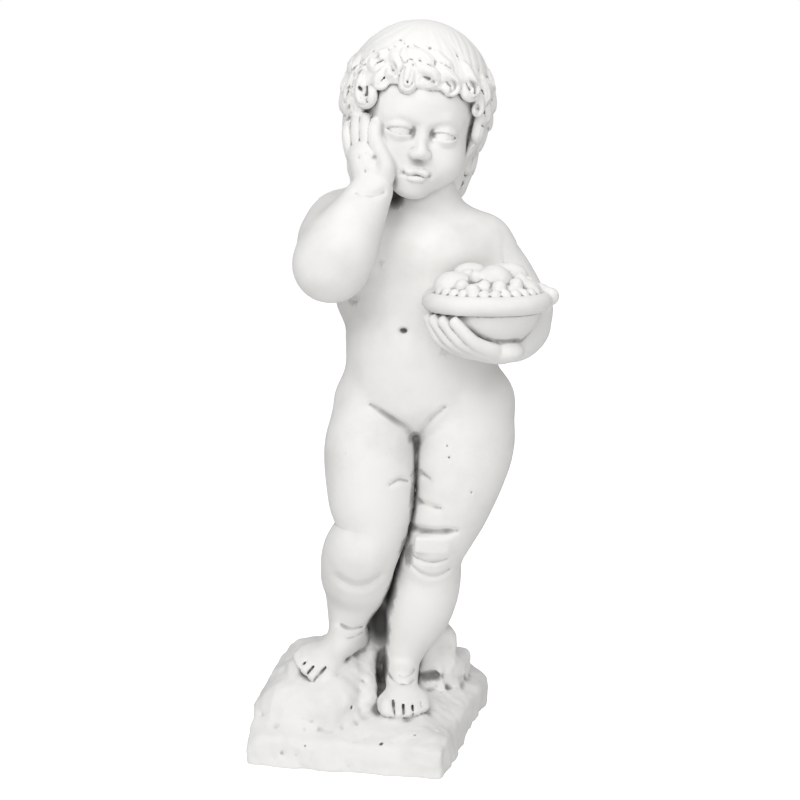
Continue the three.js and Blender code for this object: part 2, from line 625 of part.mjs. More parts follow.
function skinOf(clay) {
  const { values, count } = clay;
  const offsets = CORNERS.map(([i, j, k]) => clay.index(i, j, k));
  const points = [];
  const faces = [];
  const made = new Map();
  const vertexOn = (edge, i, j, k) => {
    const [a, b] = EDGES[edge].map((corner) => offsets[corner] + clay.index(i, j, k));
    const axisOf = { 1: 0, [count[0]]: 1, [count[0] * count[1]]: 2 };
    const key = Math.min(a, b) * 3 + axisOf[Math.abs(a - b)];
    if (!made.has(key)) {
      const share = clamp(values[a] / (values[a] - values[b]), 0.1, 0.9); // no sliver faces
      const steps = mixPoints(CORNERS[EDGES[edge][0]], CORNERS[EDGES[edge][1]], share);
      made.set(key, points.length);
      points.push(steps.map((step, axis) => clay.place(step + [i, j, k][axis], axis)));
    }
    return made.get(key);
  };
  for (let k = 0; k < count[2] - 1; k++)
    for (let j = 0; j < count[1] - 1; j++)
      for (let i = 0; i < count[0] - 1; i++) {
        const base = clay.index(i, j, k);
        let outside = 0;
        offsets.forEach((offset, corner) => {
          if (values[base + offset] > 0) outside |= 1 << corner;
        });
        if (outside === 0 || outside === 255) continue;
        for (let n = outside * 16; triTable[n] >= 0; n += 3)
          faces.push([0, 1, 2].map((corner) => vertexOn(triTable[n + corner], i, j, k)));
      }
  return largestPiece(points, faces);
}

// Keeps the largest connected piece of a skin, without closed pockets and crumbs.
function largestPiece(points, faces) {
  const leader = points.map((_, i) => i);
  const find = (i) => {
    while (leader[i] !== i) i = leader[i] = leader[leader[i]];
    return i;
  };
  for (const [a, b, c] of faces) {
    leader[find(a)] = find(b);
    leader[find(b)] = find(c);
  }
  const sizes = new Map();
  for (const [a] of faces) sizes.set(find(a), (sizes.get(find(a)) ?? 0) + 1);
  const largest = [...sizes].sort((one, two) => two[1] - one[1])[0][0];
  return { points, faces: faces.filter(([a]) => find(a) === largest) };
}

// Thinning: the edge whose loss moves the surface least is collapsed, again and again

class Heap {
  items = [];

  push(item) {
    let at = this.items.push(item) - 1;
    while (at > 0) {
      const above = (at - 1) >> 1;
      if (this.items[above].cost <= item.cost) break;
      this.items[at] = this.items[above];
      at = above;
    }
    this.items[at] = item;
  }

  pop() {
    const top = this.items[0];
    const item = this.items.pop();
    if (this.items.length === 0) return top;
    let at = 0;
    for (;;) {
      let below = at * 2 + 1;
      if (below >= this.items.length) break;
      if (below + 1 < this.items.length && this.items[below + 1].cost < this.items[below].cost) below++;
      if (this.items[below].cost >= item.cost) break;
      this.items[at] = this.items[below];
      at = below;
    }
    this.items[at] = item;
    return top;
  }
}

const minus = (a, b) => [a[0] - b[0], a[1] - b[1], a[2] - b[2]];
const dot = (a, b) => a[0] * b[0] + a[1] * b[1] + a[2] * b[2];
const cross = (a, b) => [a[1] * b[2] - a[2] * b[1], a[2] * b[0] - a[0] * b[2], a[0] * b[1] - a[1] * b[0]];
const lengthSquared = (a) => dot(a, a);
const normalOf = (a, b, c) => cross(minus(b, a), minus(c, a));

// The sum of squared distances to a plane, as ten numbers that can be added up.
function planeError(normal, distance, weight) {
  const n = [...normal, distance];
  return [0, 1, 2, 3].flatMap((i) => n.slice(i).map((value) => value * n[i] * weight));
}

function errorAt(q, [x, y, z]) {
  const planes = q[0] * x * x + q[4] * y * y + q[7] * z * z + q[9];
  return planes + 2 * (q[1] * x * y + q[2] * x * z + q[3] * x + q[5] * y * z + q[6] * y + q[8] * z);
}

// The place with the least error, or nothing where the planes don't fix one.
function bestPlace(q) {
  const rows = [[q[0], q[1], q[2]], [q[1], q[4], q[5]], [q[2], q[5], q[7]]];
  const right = [-q[3], -q[6], -q[8]];
  const volume = dot(rows[0], cross(rows[1], rows[2]));
  const size = q[0] + q[4] + q[7];
  if (Math.abs(volume) < 1e-4 * size ** 3) return null;
  return [
    dot(right, cross(rows[1], rows[2])) / volume,
    dot(rows[0], cross(right, rows[2])) / volume,
    dot(rows[0], cross(rows[1], right)) / volume,
  ];
}

// How much finer a place is kept than the plain parts of the body.
function care([x, y, z]) {
  if (z > 548) return 5; // head and raised hand
  if (z > 385 && y < -70 && x > 0) return 2.5; // bowl and the hand under it
  return z < 100 ? 0.8 : 1;
}

const RETRIES = 4; // how often a collapse that would fold the skin is tried again, later on
const FLATTEST = 0.04; // the least height of a triangle over its longest side

function thin({ points, faces }, target) {
  const touching = points.map(() => new Set());
  const errors = points.map(() => new Array(10).fill(0));
  const versions = new Int32Array(points.length);
  faces.forEach((corners, f) => {
    const normal = normalOf(...corners.map((corner) => points[corner]));
    const area = Math.sqrt(lengthSquared(normal)) || 1e-12;
    const unit = normal.map((value) => value / area);
    const plane = planeError(unit, -dot(unit, points[corners[0]]), area * care(points[corners[0]]));
    for (const corner of corners) {
      touching[corner].add(f);
      plane.forEach((value, i) => (errors[corner][i] += value));
    }
  });

  const heap = new Heap();
  const consider = (a, b) => {
    const q = errors[a].map((value, i) => value + errors[b][i]);
    const reach = minus(points[a], points[b]);
    const middle = mixPoints(points[a], points[b], 0.5);
    const choices = [middle, points[a], points[b]];
    const best = bestPlace(q);
    if (best && lengthSquared(minus(best, middle)) < 4 * lengthSquared(reach)) choices.unshift(best);
    const place = choices.reduce((one, two) => (errorAt(q, two) < errorAt(q, one) ? two : one));
    const cost = errorAt(q, place) + 1e-3 * lengthSquared(reach); // short edges first where it is flat
    heap.push({ cost, a, b, place, age: versions[a] + versions[b], tries: 0 });
  };
  for (const corners of faces)
    corners.forEach((a, i) => {
      const b = corners[(i + 1) % 3];
      if (a < b) consider(a, b);
    });

  const neighbours = (vertex) => {
    const found = new Set([...touching[vertex]].flatMap((f) => faces[f]));
    found.delete(vertex);
    return found;
  };
  const staysSound = (vertex, other, place) =>
    [...touching[vertex]].every((f) => {
      if (faces[f].includes(other)) return true;
      const before = normalOf(...faces[f].map((corner) => points[corner]));
      const moved = faces[f].map((corner) => (corner === vertex ? place : points[corner]));
      const after = normalOf(...moved);
      const [sizeBefore, sizeAfter] = [before, after].map((normal) => Math.sqrt(lengthSquared(normal)));
      const longest = Math.max(...moved.map((point, i) => lengthSquared(minus(point, moved[(i + 1) % 3]))));
      return dot(before, after) > 0.3 * sizeBefore * sizeAfter && sizeAfter > FLATTEST * longest;
    });

  let left = faces.length;
  while (left > target && heap.items.length > 0) {
    const { cost, a, b, place, age, tries } = heap.pop();
    if (!touching[a] || !touching[b] || versions[a] + versions[b] !== age) continue;
    const around = neighbours(b);
    if ([...neighbours(a)].filter((vertex) => around.has(vertex)).length !== 2) continue;
    if (!staysSound(a, b, place) || !staysSound(b, a, place)) {
      const middle = mixPoints(points[a], points[b], 0.5);
      if (tries < RETRIES) heap.push({ cost: cost * 3, a, b, place: middle, age, tries: tries + 1 });
      continue;
    }
    points[a] = place;
    errors[b].forEach((value, i) => (errors[a][i] += value));
    for (const f of touching[b]) {
      if (faces[f].includes(a)) {
        for (const corner of faces[f]) if (corner !== b) touching[corner].delete(f);
        faces[f] = null;
        left--;
      } else {
        faces[f] = faces[f].map((corner) => (corner === b ? a : corner));
        touching[a].add(f);
      }
    }
    touching[b] = null;
    versions[a] += versions[b] + 1;
    for (const vertex of neighbours(a)) consider(Math.min(a, vertex), Math.max(a, vertex));
  }
  return { points, faces: faces.filter((corners) => corners) };
}

// The solid: set on the ground with its middle over the origin, at its real height

function solidGeometry({ points, faces }) {
  const used = [...new Set(faces.flat())];
  const place = new Map(used.map((vertex, i) => [vertex, i]));
  const geometry = new THREE.BufferGeometry();
  const coordinates = used.flatMap((vertex) => points[vertex]);
  geometry.setAttribute("position", new THREE.Float32BufferAttribute(coordinates, 3));
  geometry.setIndex(faces.flat().map((vertex) => place.get(vertex)));
  geometry.computeBoundingBox();
  const { min, max } = geometry.boundingBox;
  geometry.translate(-(min.x + max.x) / 2, -(min.y + max.y) / 2, -min.z);
  const scale = STATUE_HEIGHT / (max.z - min.z);
  geometry.scale(scale, scale, scale);
  const position = geometry.attributes.position;
  for (let i = 0; i < position.count; i++) if (position.getZ(i) < FLAT_BELOW) position.setZ(i, 0);
  geometry.computeVertexNormals();
  return geometry;
}

const statue = new THREE.Mesh(
  solidGeometry(thin(skinOf(statueClay()), TRIANGLES)),
  new THREE.MeshStandardMaterial(STONE),
);
statue.name = "statue";

const group = new THREE.Group();
group.add(statue);

export default group;
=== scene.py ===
from math import cos, radians, sin, sqrt

import bpy
import numpy as np
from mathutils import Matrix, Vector


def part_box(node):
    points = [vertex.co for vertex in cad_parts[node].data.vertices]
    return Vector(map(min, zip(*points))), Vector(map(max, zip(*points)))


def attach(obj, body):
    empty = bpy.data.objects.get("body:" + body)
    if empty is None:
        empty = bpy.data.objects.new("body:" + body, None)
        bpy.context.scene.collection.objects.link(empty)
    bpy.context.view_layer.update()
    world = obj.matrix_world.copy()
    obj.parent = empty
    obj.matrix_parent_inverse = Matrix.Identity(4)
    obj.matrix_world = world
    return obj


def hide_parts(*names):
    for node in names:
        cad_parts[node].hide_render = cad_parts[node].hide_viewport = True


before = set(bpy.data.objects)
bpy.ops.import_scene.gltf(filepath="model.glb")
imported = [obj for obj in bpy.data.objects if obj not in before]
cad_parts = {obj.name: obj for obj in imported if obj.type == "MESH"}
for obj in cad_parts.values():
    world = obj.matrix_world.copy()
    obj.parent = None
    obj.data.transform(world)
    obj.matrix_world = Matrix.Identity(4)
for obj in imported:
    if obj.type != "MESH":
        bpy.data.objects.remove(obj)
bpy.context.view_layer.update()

# Driving dimensions, in millimetres
CELL = 1.1
TRIANGLES = 190000
MILLIMETRE = 0.001
CLAY_BOX = ([-180, -160, -10], [175, 165, 720])
INSIDE_BOX = 0.9995  # the statue's size beside that of the solid's box

# Landmarks of the pose: the middle of each joint, and how each foot is turned in its frame
RIGHT = {
    "shoulder": [-52, -2, 503],
    "elbow": [-63, -62, 479],
    "wrist": [-26, -53, 543],
    "hip": [-24, 2, 322],
    "knee": [-39, -12, 190],
    "ankle": [-53, 6, 113],
    "heel": [-58, 10, 86],
    "foot turn": [-28, 6, 32],
}
LEFT = {
    "shoulder": [80, 2, 484],
    "elbow": [119, -14, 430],
    "wrist": [93, -76, 402],
    "hip": [65, 3, 326],
    "knee": [31, -8, 188],
    "ankle": [0, 2, 72],
    "heel": [2, 2, 47.5],
    "foot turn": [2, 4, -4],
}
HEAD_PLACE = [13, -4, 600]
HEAD_TURN = [8, 6, 8]
NECK = {"from": [26, 8, 520], "to": [22, 3, 566], "radii": [30, 27]}
BOWL = {"centre": [79, -76, 445], "rim": 51, "lip": 8.5, "depth": 44}
CAP = {"centre": [1.5, 11, 25], "size": [71, 73, 74.5]}
EYE = {"aside": 20, "front": -43.5, "radius": 11.6, "lid": 13.9}
SLAB_TOP = 43

FAR = 1000.0  # the distance held where no shape has reached
NEAR = 8  # how far round a shape its distances are written
WIDE = 24  # the same for limbs, which melt into the body by broad fillets
INTO_CELL = 0.5  # the grid points stand half a cell in from the cells' corners
SIDES = (-1, 1)
CORNERS = [(0, 0, 0), (1, 0, 0), (1, 1, 0), (0, 1, 0), (0, 0, 1), (1, 0, 1), (1, 1, 1), (0, 1, 1)]


# Numbers and points


def mix(a, b, share):
    return a + (b - a) * share


def mix_points(a, b, share):
    return [mix(p, q, share) for p, q in zip(a, b)]


def plus(a, b):
    return [p + q for p, q in zip(a, b)]


def smooth_step(low, high, value):
    share = np.clip((value - low) / (high - low), 0, 1)
    return share * share * (3 - 2 * share)


def melt(a, b, blend):
    """The smaller of two distances, with a fillet of the given size where they are close."""
    if np.isscalar(blend) and blend <= 0:
        return np.minimum(a, b)
    share = np.maximum(1 - np.abs(a - b) / blend, 0)
    return np.minimum(a, b) - share * share * (blend / 4)


def frame_at(place, angles=(0, 0, 0)):
    """A rigid frame: a place, turned by degrees about Z, then its own X, then its own Y."""
    ct, cn, cl = (cos(radians(angle)) for angle in angles)
    st, sn, sl = (sin(radians(angle)) for angle in angles)
    about_z = np.array([[ct, -st, 0], [st, ct, 0], [0, 0, 1]])
    about_x = np.array([[1, 0, 0], [0, cn, -sn], [0, sn, cn]])
    about_y = np.array([[cl, 0, sl], [0, 1, 0], [-sl, 0, cl]])
    matrix = np.identity(4)
    matrix[:3, :3] = about_z @ about_x @ about_y
    matrix[:3, 3] = place
    return matrix


# Shapes: each has a box, and gives the distance from points to its surface, negative inside


class Shape:
    def __init__(self, low, high, at, pieces=None):
        self.low = np.array(low, float)
        self.high = np.array(high, float)
        self.at = at
        self.pieces = pieces


def placed(shape, matrix):
    """A shape drawn in a frame of its own, set into the frame outside it."""
    if shape.pieces:
        return together([placed(piece, matrix) for piece in shape.pieces])
    corners = np.where(CORNERS, shape.high, shape.low) @ matrix[:3, :3].T + matrix[:3, 3]
    m = np.linalg.inv(matrix).astype(np.float32)

    def at(x, y, z):
        return shape.at(*(m[r, 0] * x + m[r, 1] * y + m[r, 2] * z + m[r, 3] for r in range(3)))

    return Shape(corners.min(0), corners.max(0), at)


def ball(centre, size, angles=(0, 0, 0)):
    """An ellipsoid, by one radius or by three half sizes."""
    rx, ry, rz = size if isinstance(size, (list, tuple)) else (size, size, size)

    def at(x, y, z):
        # The small numbers keep the middle, where both roots are zero, from dividing by zero.
        inside = np.sqrt((x / rx) ** 2 + (y / ry) ** 2 + (z / rz) ** 2) + 1e-4
        slope = np.sqrt((x / rx**2) ** 2 + (y / ry**2) ** 2 + (z / rz**2) ** 2) + 1e-7
        return inside * (inside - 1) / slope

    return placed(Shape([-rx, -ry, -rz], [rx, ry, rz], at), frame_at(centre, angles))


def bone(start, end, start_radius, end_radius):
    """A cone with round ends."""
    start, end = np.array(start, float), np.array(end, float)
    ax, ay, az = start
    dx, dy, dz = end - start
    length = max(sqrt(dx * dx + dy * dy + dz * dz), 1e-6)
    slope = min(max((start_radius - end_radius) / length, -0.99), 0.99)
    spread = slope / sqrt(1 - slope * slope)
    thick = max(start_radius, end_radius)

    def at(x, y, z):
        px, py, pz = x - ax, y - ay, z - az
        along = (px * dx + py * dy + pz * dz) / length
        aside = np.sqrt(np.maximum(px * px + py * py + pz * pz - along * along, 0))
        foot = np.clip(along + aside * spread, 0, length)
        return np.sqrt(aside * aside + (along - foot) ** 2) - (start_radius - slope * foot)

    return Shape(np.minimum(start, end) - thick, np.maximum(start, end) + thick, at)


def smooth_curve(points, shares):
    """Points of a smooth curve through the given ones, at shares of the way along."""
    points = np.array(points, float)
    padded = np.vstack([2 * points[0] - points[1], points, 2 * points[-1] - points[-2]])
    spots = np.asarray(shares) * (len(points) - 1)
    first = np.minimum(spots.astype(int), len(points) - 2)
    t = (spots - first)[:, None]
    before, start, end, after = (padded[first + n] for n in range(4))
    leaving, arriving = (end - before) / 2, (after - start) / 2
    square = -3 * start + 3 * end - 2 * leaving - arriving
    cube = 2 * start - 2 * end + leaving + arriving
    return start + leaving * t + square * t**2 + cube * t**3


def together(pieces):
    """One shape of many, without fillets between them."""
    low = np.min([piece.low for piece in pieces], axis=0)
    high = np.max([piece.high for piece in pieces], axis=0)
    return Shape(low, high, lambda x, y, z: np.minimum.reduce([p.at(x, y, z) for p in pieces]), pieces)


def strand(points, radii, steps=8):
    """Short cones end to end along a smooth curve, each of its points with its own radius."""
    shares = np.linspace(0, 1, (len(points) - 1) * steps + 1)
    path = smooth_curve(points, shares)
    swelling = smooth_curve([[radius] for radius in radii], shares)[:, 0]
    cones = zip(path, path[1:], swelling, swelling[1:])
    return together([bone(*cone) for cone in cones])


def melted(one, two, blend):
    """Two shapes melted into one."""
    low, high = np.minimum(one.low, two.low), np.maximum(one.high, two.high)
    return Shape(low, high, lambda x, y, z: melt(one.at(x, y, z), two.at(x, y, z), blend))


def carved(shape, hollow):
    """A shape with another taken away."""
    return Shape(shape.low, shape.high, lambda x, y, z: np.maximum(shape.at(x, y, z), -hollow.at(x, y, z)))


def block(centre, half, angles, rounding):
    """A box with rounded edges."""
    hx, hy, hz = (value - rounding for value in half)

    def at(x, y, z):
        qx, qy, qz = np.abs(x) - hx, np.abs(y) - hy, np.abs(z) - hz
        outside = np.sqrt(np.maximum(qx, 0) ** 2 + np.maximum(qy, 0) ** 2 + np.maximum(qz, 0) ** 2)
        return outside + np.minimum(np.maximum(np.maximum(qx, qy), qz), 0) - rounding

    return placed(Shape([-value for value in half], half, at), frame_at(centre, angles))


def ring(centre, radius, thickness):
    """A ring lying flat."""
    cx, cy, cz = centre
    half = np.array([radius + thickness, radius + thickness, thickness])

    def at(x, y, z):
        return np.sqrt((np.sqrt((x - cx) ** 2 + (y - cy) ** 2) - radius) ** 2 + (z - cz) ** 2) - thickness

    return Shape(centre - half, centre + half, at)


def stone(planes, low, high, bevel):
    """A stone bounded by planes, each an outward direction and its distance, softly bevelled."""
    walls = [(np.array(way, float) / np.linalg.norm(way), distance) for way, distance in planes]

    def at(x, y, z):
        most = -FAR
        for (a, b, c), distance in walls:
            most = -melt(-most, distance - a * x - b * y - c * z, bevel)
        return most

    return Shape(low, high, at)


# Clay: a grid of distances that shapes are added to and cut from


class Clay:
    def __init__(self, low, high, reach=NEAR):
        self.reach = reach
        self.start = np.floor(np.array(low) / CELL).astype(int)
        self.count = np.ceil(np.array(high) / CELL).astype(int) - self.start + 1
        self.values = np.full(self.count, FAR, np.float32)

    def step(self, point):
        return np.array(point) / CELL - self.start - INTO_CELL

    def places(self, where):
        """The x, y and z of the grid points in a slice of the grid, ready to be combined."""
        lines = [
            ((np.arange(part.start, part.stop) + self.start[axis] + INTO_CELL) * CELL).astype(np.float32)
            for axis, part in enumerate(where)
        ]
        return lines[0][:, None, None], lines[1][None, :, None], lines[2][None, None, :]

    def around(self, shape, reach):
        """The slice of the grid that holds a shape and what lies within reach of it."""
        low = np.clip(np.floor(self.step(shape.low - reach)), 0, self.count).astype(int)
        high = np.clip(np.ceil(self.step(shape.high + reach)) + 1, 0, self.count).astype(int)
        return tuple(slice(a, b) for a, b in zip(low, high))

    def distances(self, shape, reach):
        """A shape's distances on the slice of the grid round it."""
        where = self.around(shape, reach)
        if not shape.pieces:
            return where, shape.at(*self.places(where))
        field = np.full([part.stop - part.start for part in where], FAR, np.float32)
        for piece in shape.pieces:
            inner = self.around(piece, reach)
            local = tuple(slice(i.start - w.start, i.stop - w.start) for i, w in zip(inner, where))
            field[local] = np.minimum(field[local], piece.at(*self.places(inner)))
        return where, field

    def add(self, shape, blend=0):
        where, field = self.distances(shape, max(self.reach, blend))
        self.values[where] = melt(self.values[where], field, blend)

    def cut(self, shape, blend=0):
        where, field = self.distances(shape, max(self.reach, blend))
        self.values[where] = -melt(-self.values[where], field, blend)

    def join(self, other, blend=0):
        """Melts in clay that was modelled apart. The blend is a number or a function of the place."""
        low = np.maximum(self.start, other.start)
        high = np.maximum(np.minimum(self.start + self.count, other.start + other.count), low)
        here, there = (
            tuple(slice(a, b) for a, b in zip(low - clay.start, high - clay.start))
            for clay in (self, other)
        )
        width = blend(*other.places(there)) if callable(blend) else blend
        self.values[here] = melt(self.values[here], other.values[there], width)

    def front(self, x, z):
        """The first surface met from the front at this x and z."""
        i, _, k = np.round(self.step([x, 0, z])).astype(int)
        line = self.values[i, :, k]
        j = int(np.argmax(line < 0))
        y = (j - 1 + line[j - 1] / (line[j - 1] - line[j]) + self.start[1] + INTO_CELL) * CELL
        return [x, float(y), z]

    def groove(self, places, width, blend):
        """Presses a groove into the clay, through points given by their x and z, from the front."""
        points = [self.front(x, z) for x, z in places]
        radii = [width * 0.5] + [width] * (len(points) - 2) + [width * 0.5]
        self.cut(strand(points, radii), blend)


# Torso: pelvis, belly, ribs and shoulders of a plump child, leaning onto the left leg


def torso(clay):
    clay.add(ball([23, 5, 345], [84, 50, 46]))  # pelvis
    clay.add(ball([12, -6, 400], [64, 52, 62]), 26)  # belly
    clay.add(ball([14, 1, 458], [70, 44, 60]), 24)  # ribs
    clay.add(ball([36, 8, 388], [54, 38, 60]), 18)  # left flank
    for x in (-18, 54):
        clay.add(ball([x, 30, 320], [44, 38, 44]), 12)  # buttocks
    clay.add(ball([-25, 6, 441], [37, 30, 34]), 10)  # right flank
    clay.add(strand([[-44, 3, 500], [28, 6, 512], [70, 2, 493]], [29, 27, 26]), 14)  # yoke
    for x in (-6, 46):
        clay.add(ball([x, -24, 486], [33, 21, 25]), 16)  # breast
    clay.add(strand([NECK["from"], NECK["to"]], NECK["radii"]), 16)
    clay.cut(strand([[30, 56, 500], [24, 52, 430], [18, 56, 380]], [5, 4, 3]), 14)  # spine
    for x in (-14, 62):
        clay.add(ball([x, 30, 482], [26, 12, 28]), 12)  # shoulder blades


# Legs: each is a strand of fat rounds down to a narrow ankle, with a kneecap and a calf


def right_leg():
    clay = Clay([-105, -85, 60], [40, 80, 385], WIDE)
    thigh = [RIGHT["hip"], [-29, -4, 293], [-28, -11, 248], [-26, -16, 220], RIGHT["knee"], [-43, -2, 166]]
    clay.add(strand(thigh, [40, 44.5, 42, 34.5, 37, 34.5]))
    shin = [[-42, 2, 168], [-44, 7, 150], [-49, 7, 130], RIGHT["ankle"]]
    clay.add(strand(shin, [34, 30.5, 23.5, 18]), 6)
    clay.add(ball([-38, -32, 196], [23, 16, 21]), 10)  # kneecap
    clay.add(ball([-46, 16, 166], [30, 24, 32]), 8)  # calf
    return clay


def left_leg():
    clay = Clay([-40, -80, 35], [135, 80, 385], WIDE)
    thigh = [LEFT["hip"], [63, -2, 293], [53, -8, 246], [42, -10, 216], LEFT["knee"]]
    clay.add(strand(thigh, [46, 47, 38.5, 33, 28.5]))
    shin = [[31, -6, 190], [28, 4, 164], [23, 6, 142], [17, 6, 122], [8, 4, 98], LEFT["ankle"]]
    clay.add(strand(shin, [28, 32.5, 34, 31, 22.5, 16.5]), 6)
    clay.add(ball([34, -27, 198], [18, 12, 13]), 8)  # kneecap
    clay.add(ball([24, 18, 152], [27, 22, 34]), 12)  # calf
    return clay


RIGHT_FOOT = frame_at(RIGHT["heel"], RIGHT["foot turn"])
LEFT_FOOT = frame_at(LEFT["heel"], LEFT["foot turn"])
# Each toe from the big one outwards: its place across the foot, how far it reaches, its radius
TOES = [(16, -71, 7.0), (5.2, -74.5, 5.2), (-3.9, -73, 4.8), (-12.2, -69.5, 4.6), (-19.8, -63.5, 4.4)]


def foot(clay, matrix, big_toe_side):
    """A bare foot pointing to -Y from its heel, with the big toe on the given side."""
    clay.add(placed(strand([[0, 4, 15], [0, -20, 17], [0, -42, 11]], [16, 16, 12]), matrix), 8)
    clay.add(placed(ball([0, 10, 14], [16, 17, 15]), matrix), 6)  # heel
    clay.add(placed(ball([0, -46, 8], [25, 20, 11]), matrix), 8)  # ball of the foot
    clay.add(placed(ball([0, -56, 4.5], [25, 17, 6.5]), matrix), 6)  # under the toes
    for across, reach, radius in TOES:
        x = big_toe_side * across
        root, knuckle = [x * 0.9, -49, 10.5], [x, reach + 12, radius + 2.6]
        tip = [x, reach + radius, radius]
        widths = [radius * 0.9, radius, radius * 0.94]
        clay.add(placed(strand([root, knuckle, tip], widths), matrix), 1.6)
    for (x1, y1, r1), (x2, y2, r2) in zip(TOES, TOES[1:]):
        x = big_toe_side * (x1 * r2 + x2 * r1) / (r1 + r2)
        front, depth = (y1 + y2) / 2, (r1 + r2) / 2
        gap = [[x * 0.95, front + 19, depth + 8.5], [x, front + 12, depth + 6.6]]
        gap += [[x, front + 4, depth + 3], [x, front, 1]]
        clay.cut(placed(strand(gap, [0.7, 1.5, 1.5, 1.2]), matrix), 1.2)


# Arms


def right_arm():
    """The elbow points down and forward, and the hand lies against the side of the head."""
    clay = Clay([-125, -125, 420], [35, 65, 645], WIDE)
    clay.add(strand([RIGHT["shoulder"], [-60, -30, 494], RIGHT["elbow"]], [40, 36, 31]))
    forearm = [[-63, -70, 476], [-51, -70, 496], [-40, -63, 517], RIGHT["wrist"]]
    clay.add(strand(forearm, [29.5, 29.5, 26, 19.5]), 22)
    clay.add(strand([[-24, -50, 548], [-27, -47, 560], [-31, -46, 574]], [16, 18, 17]), 3)  # palm
    roots = [[-44, -41, 575], [-21, -54, 576]]
    tips = [[-48, -31, 604], [-23, -45, 606]]
    for share, rise in zip(np.linspace(0, 1, 4), (-2, 4, 4, -1)):
        root, tip = mix_points(*roots, share), plus(mix_points(*tips, share), [0, 0, rise])
        knuckle, joint = mix_points(root, tip, 0.35), mix_points(root, tip, 0.7)
        finger = [root, plus(knuckle, [-1, -4.5, 1]), plus(joint, [-1, -4.5, 2]), tip]
        clay.add(strand(finger, [6.2, 6.1, 5.7, 4.6]), 0.6)
    clay.add(strand([[-14, -57, 556], [-13, -62, 568], [-20, -58, 586]], [9, 7, 5.5]), 3)  # thumb
    return clay


def around_bowl(bearing, radius):
    """A point level with the rim, by its bearing from +X and its distance from the middle."""
    return plus(BOWL["centre"], [radius * cos(radians(bearing)), radius * sin(radians(bearing)), 0])


def left_arm():
    """It hangs from the shoulder and bends round under the bowl."""
    clay = Clay([-5, -148, 360], [164, 60, 545], WIDE)
    clay.add(strand([LEFT["shoulder"], [98, -4, 461], LEFT["elbow"]], [29.5, 28.5, 25]))
    forearm = [[119, -15, 428], [118, -36, 416], [108, -58, 406], LEFT["wrist"]]
    clay.add(strand(forearm, [24, 23, 19, 14]), 8)
    clay.add(ball([83, -90, 403], [31, 22, 13], [-30, 0, 4]), 12)  # palm
    # The fingers slant up round the bowl. Each joint: its turn from the tip, its radius and its height
    joints = [(62, 22, -44), (42, 36, -41), (18, 48, -32), (0, 54, -15)]
    for tip in np.linspace(192, 236, 4):
        points = [plus(around_bowl(tip + turn, radius), [0, 0, rise]) for turn, radius, rise in joints]
        clay.add(strand(points, [8, 7, 6.2, 5.4]), 0.8)
    return clay


# Bowl of fruit

GRAPES = {"number": 30, "reach": 45, "rise": 24, "fall": 14}
GOLDEN_ANGLE = 137.5  # from each grape to the next, which spreads them evenly


def bowl_of_fruit():
    clay = Clay([0, -150, 385], [160, 5, 505])

    def in_bowl(offset):
        return plus(BOWL["centre"], offset)

    clay.add(ball(BOWL["centre"], [BOWL["rim"], BOWL["rim"], BOWL["depth"]]))
    clay.cut(block(in_bowl([0, 0, 52]), [80, 80, 50], [0, 0, 0], 1))  # all above the rim
    clay.add(ring(BOWL["centre"], BOWL["rim"], BOWL["lip"]))
    clay.add(ball(in_bowl([-2, 0, 4]), [48, 47, 17]), 2)  # the heap under the fruit
    # Each fruit, by its offset from the middle of the rim and its size
    fruit = [
        ([-30, -10, 14], [19, 17, 14]), ([-14, 12, 22], [17, 15, 12]), ([6, -15, 19], [16, 15, 15]),
        ([22, 16, 20], [17, 14, 13]), ([34, -10, 11], [14, 13, 10]), ([48, 6, 7], [11, 11, 9]),
        ([58, 2, 4], [8, 8, 8.5]), ([-8, -30, 10], [12, 10, 9]), ([22, -30, 9], [11, 9, 8]),
    ]
    for offset, size in fruit:
        clay.add(ball(in_bowl(offset), size), 2.5)
    for i in range(GRAPES["number"]):
        reach = GRAPES["reach"] * sqrt((i + 0.5) / GRAPES["number"])
        rise = GRAPES["rise"] - GRAPES["fall"] * (reach / GRAPES["reach"]) ** 2 + 3 * chance(i, 1, 2)
        grape = plus(around_bowl(i * GOLDEN_ANGLE, reach), [0, 0, rise])
        clay.add(ball(grape, 5 + 1.6 * chance(i, 2, 3)), 2)
    for bearing in np.linspace(192, 348, 14):
        clay.add(ball(plus(around_bowl(bearing, 46), [0, 0, 9.5]), 4.8), 1.5)  # berry
    clay.cut(ball(in_bowl([2, -22, 36]), [3.5, 3.5, 4]), 3)  # hollow at the round fruit's stalk
    return clay


# Head: drawn about its own middle, and set on the neck

HEAD = frame_at(HEAD_PLACE, HEAD_TURN)
MOAT = {"lift": 2.2, "width": 0.7}  # the furrow pressed round each lock before it is laid
# Crescent notches between the locks over the forehead: bearing and height of three places on each
NOTCHES = [
    [(-37, 27), (-31, 23), (-28, 18)], [(-41, 10), (-35, 12), (-31, 16)], [(-12, 22), (-5, 20), (2, 17)],
    [(10, 21), (16, 17), (13, 11)], [(28, 23), (35, 18), (34, 11)], [(-57, 5), (-50, 2), (-47, -3)],
    [(35, 6), (41, 3), (41, -1)], [(-60, 33), (-51, 29), (-49, 23)],
]
PARTINGS = (-26, 26)  # where the grooves run along each lock, as angles round it
HAIR_BETWEEN = (30.0, 130.0)  # the least and the most that the hair can reach from the cap's middle
CLOSE_ENOUGH = 0.1  # where the search for its surface stops
ROW_LOCK = {"length": 17, "hook": 4.9, "thickness": 4.9}  # a lock of the sides and back
HAIR = melted(ball(CAP["centre"], CAP["size"]), ball([6, 25, -28], [60, 47, 60]), 18)


def head(shape):
    """A shape drawn about the middle of the head."""
    return placed(shape, HEAD)


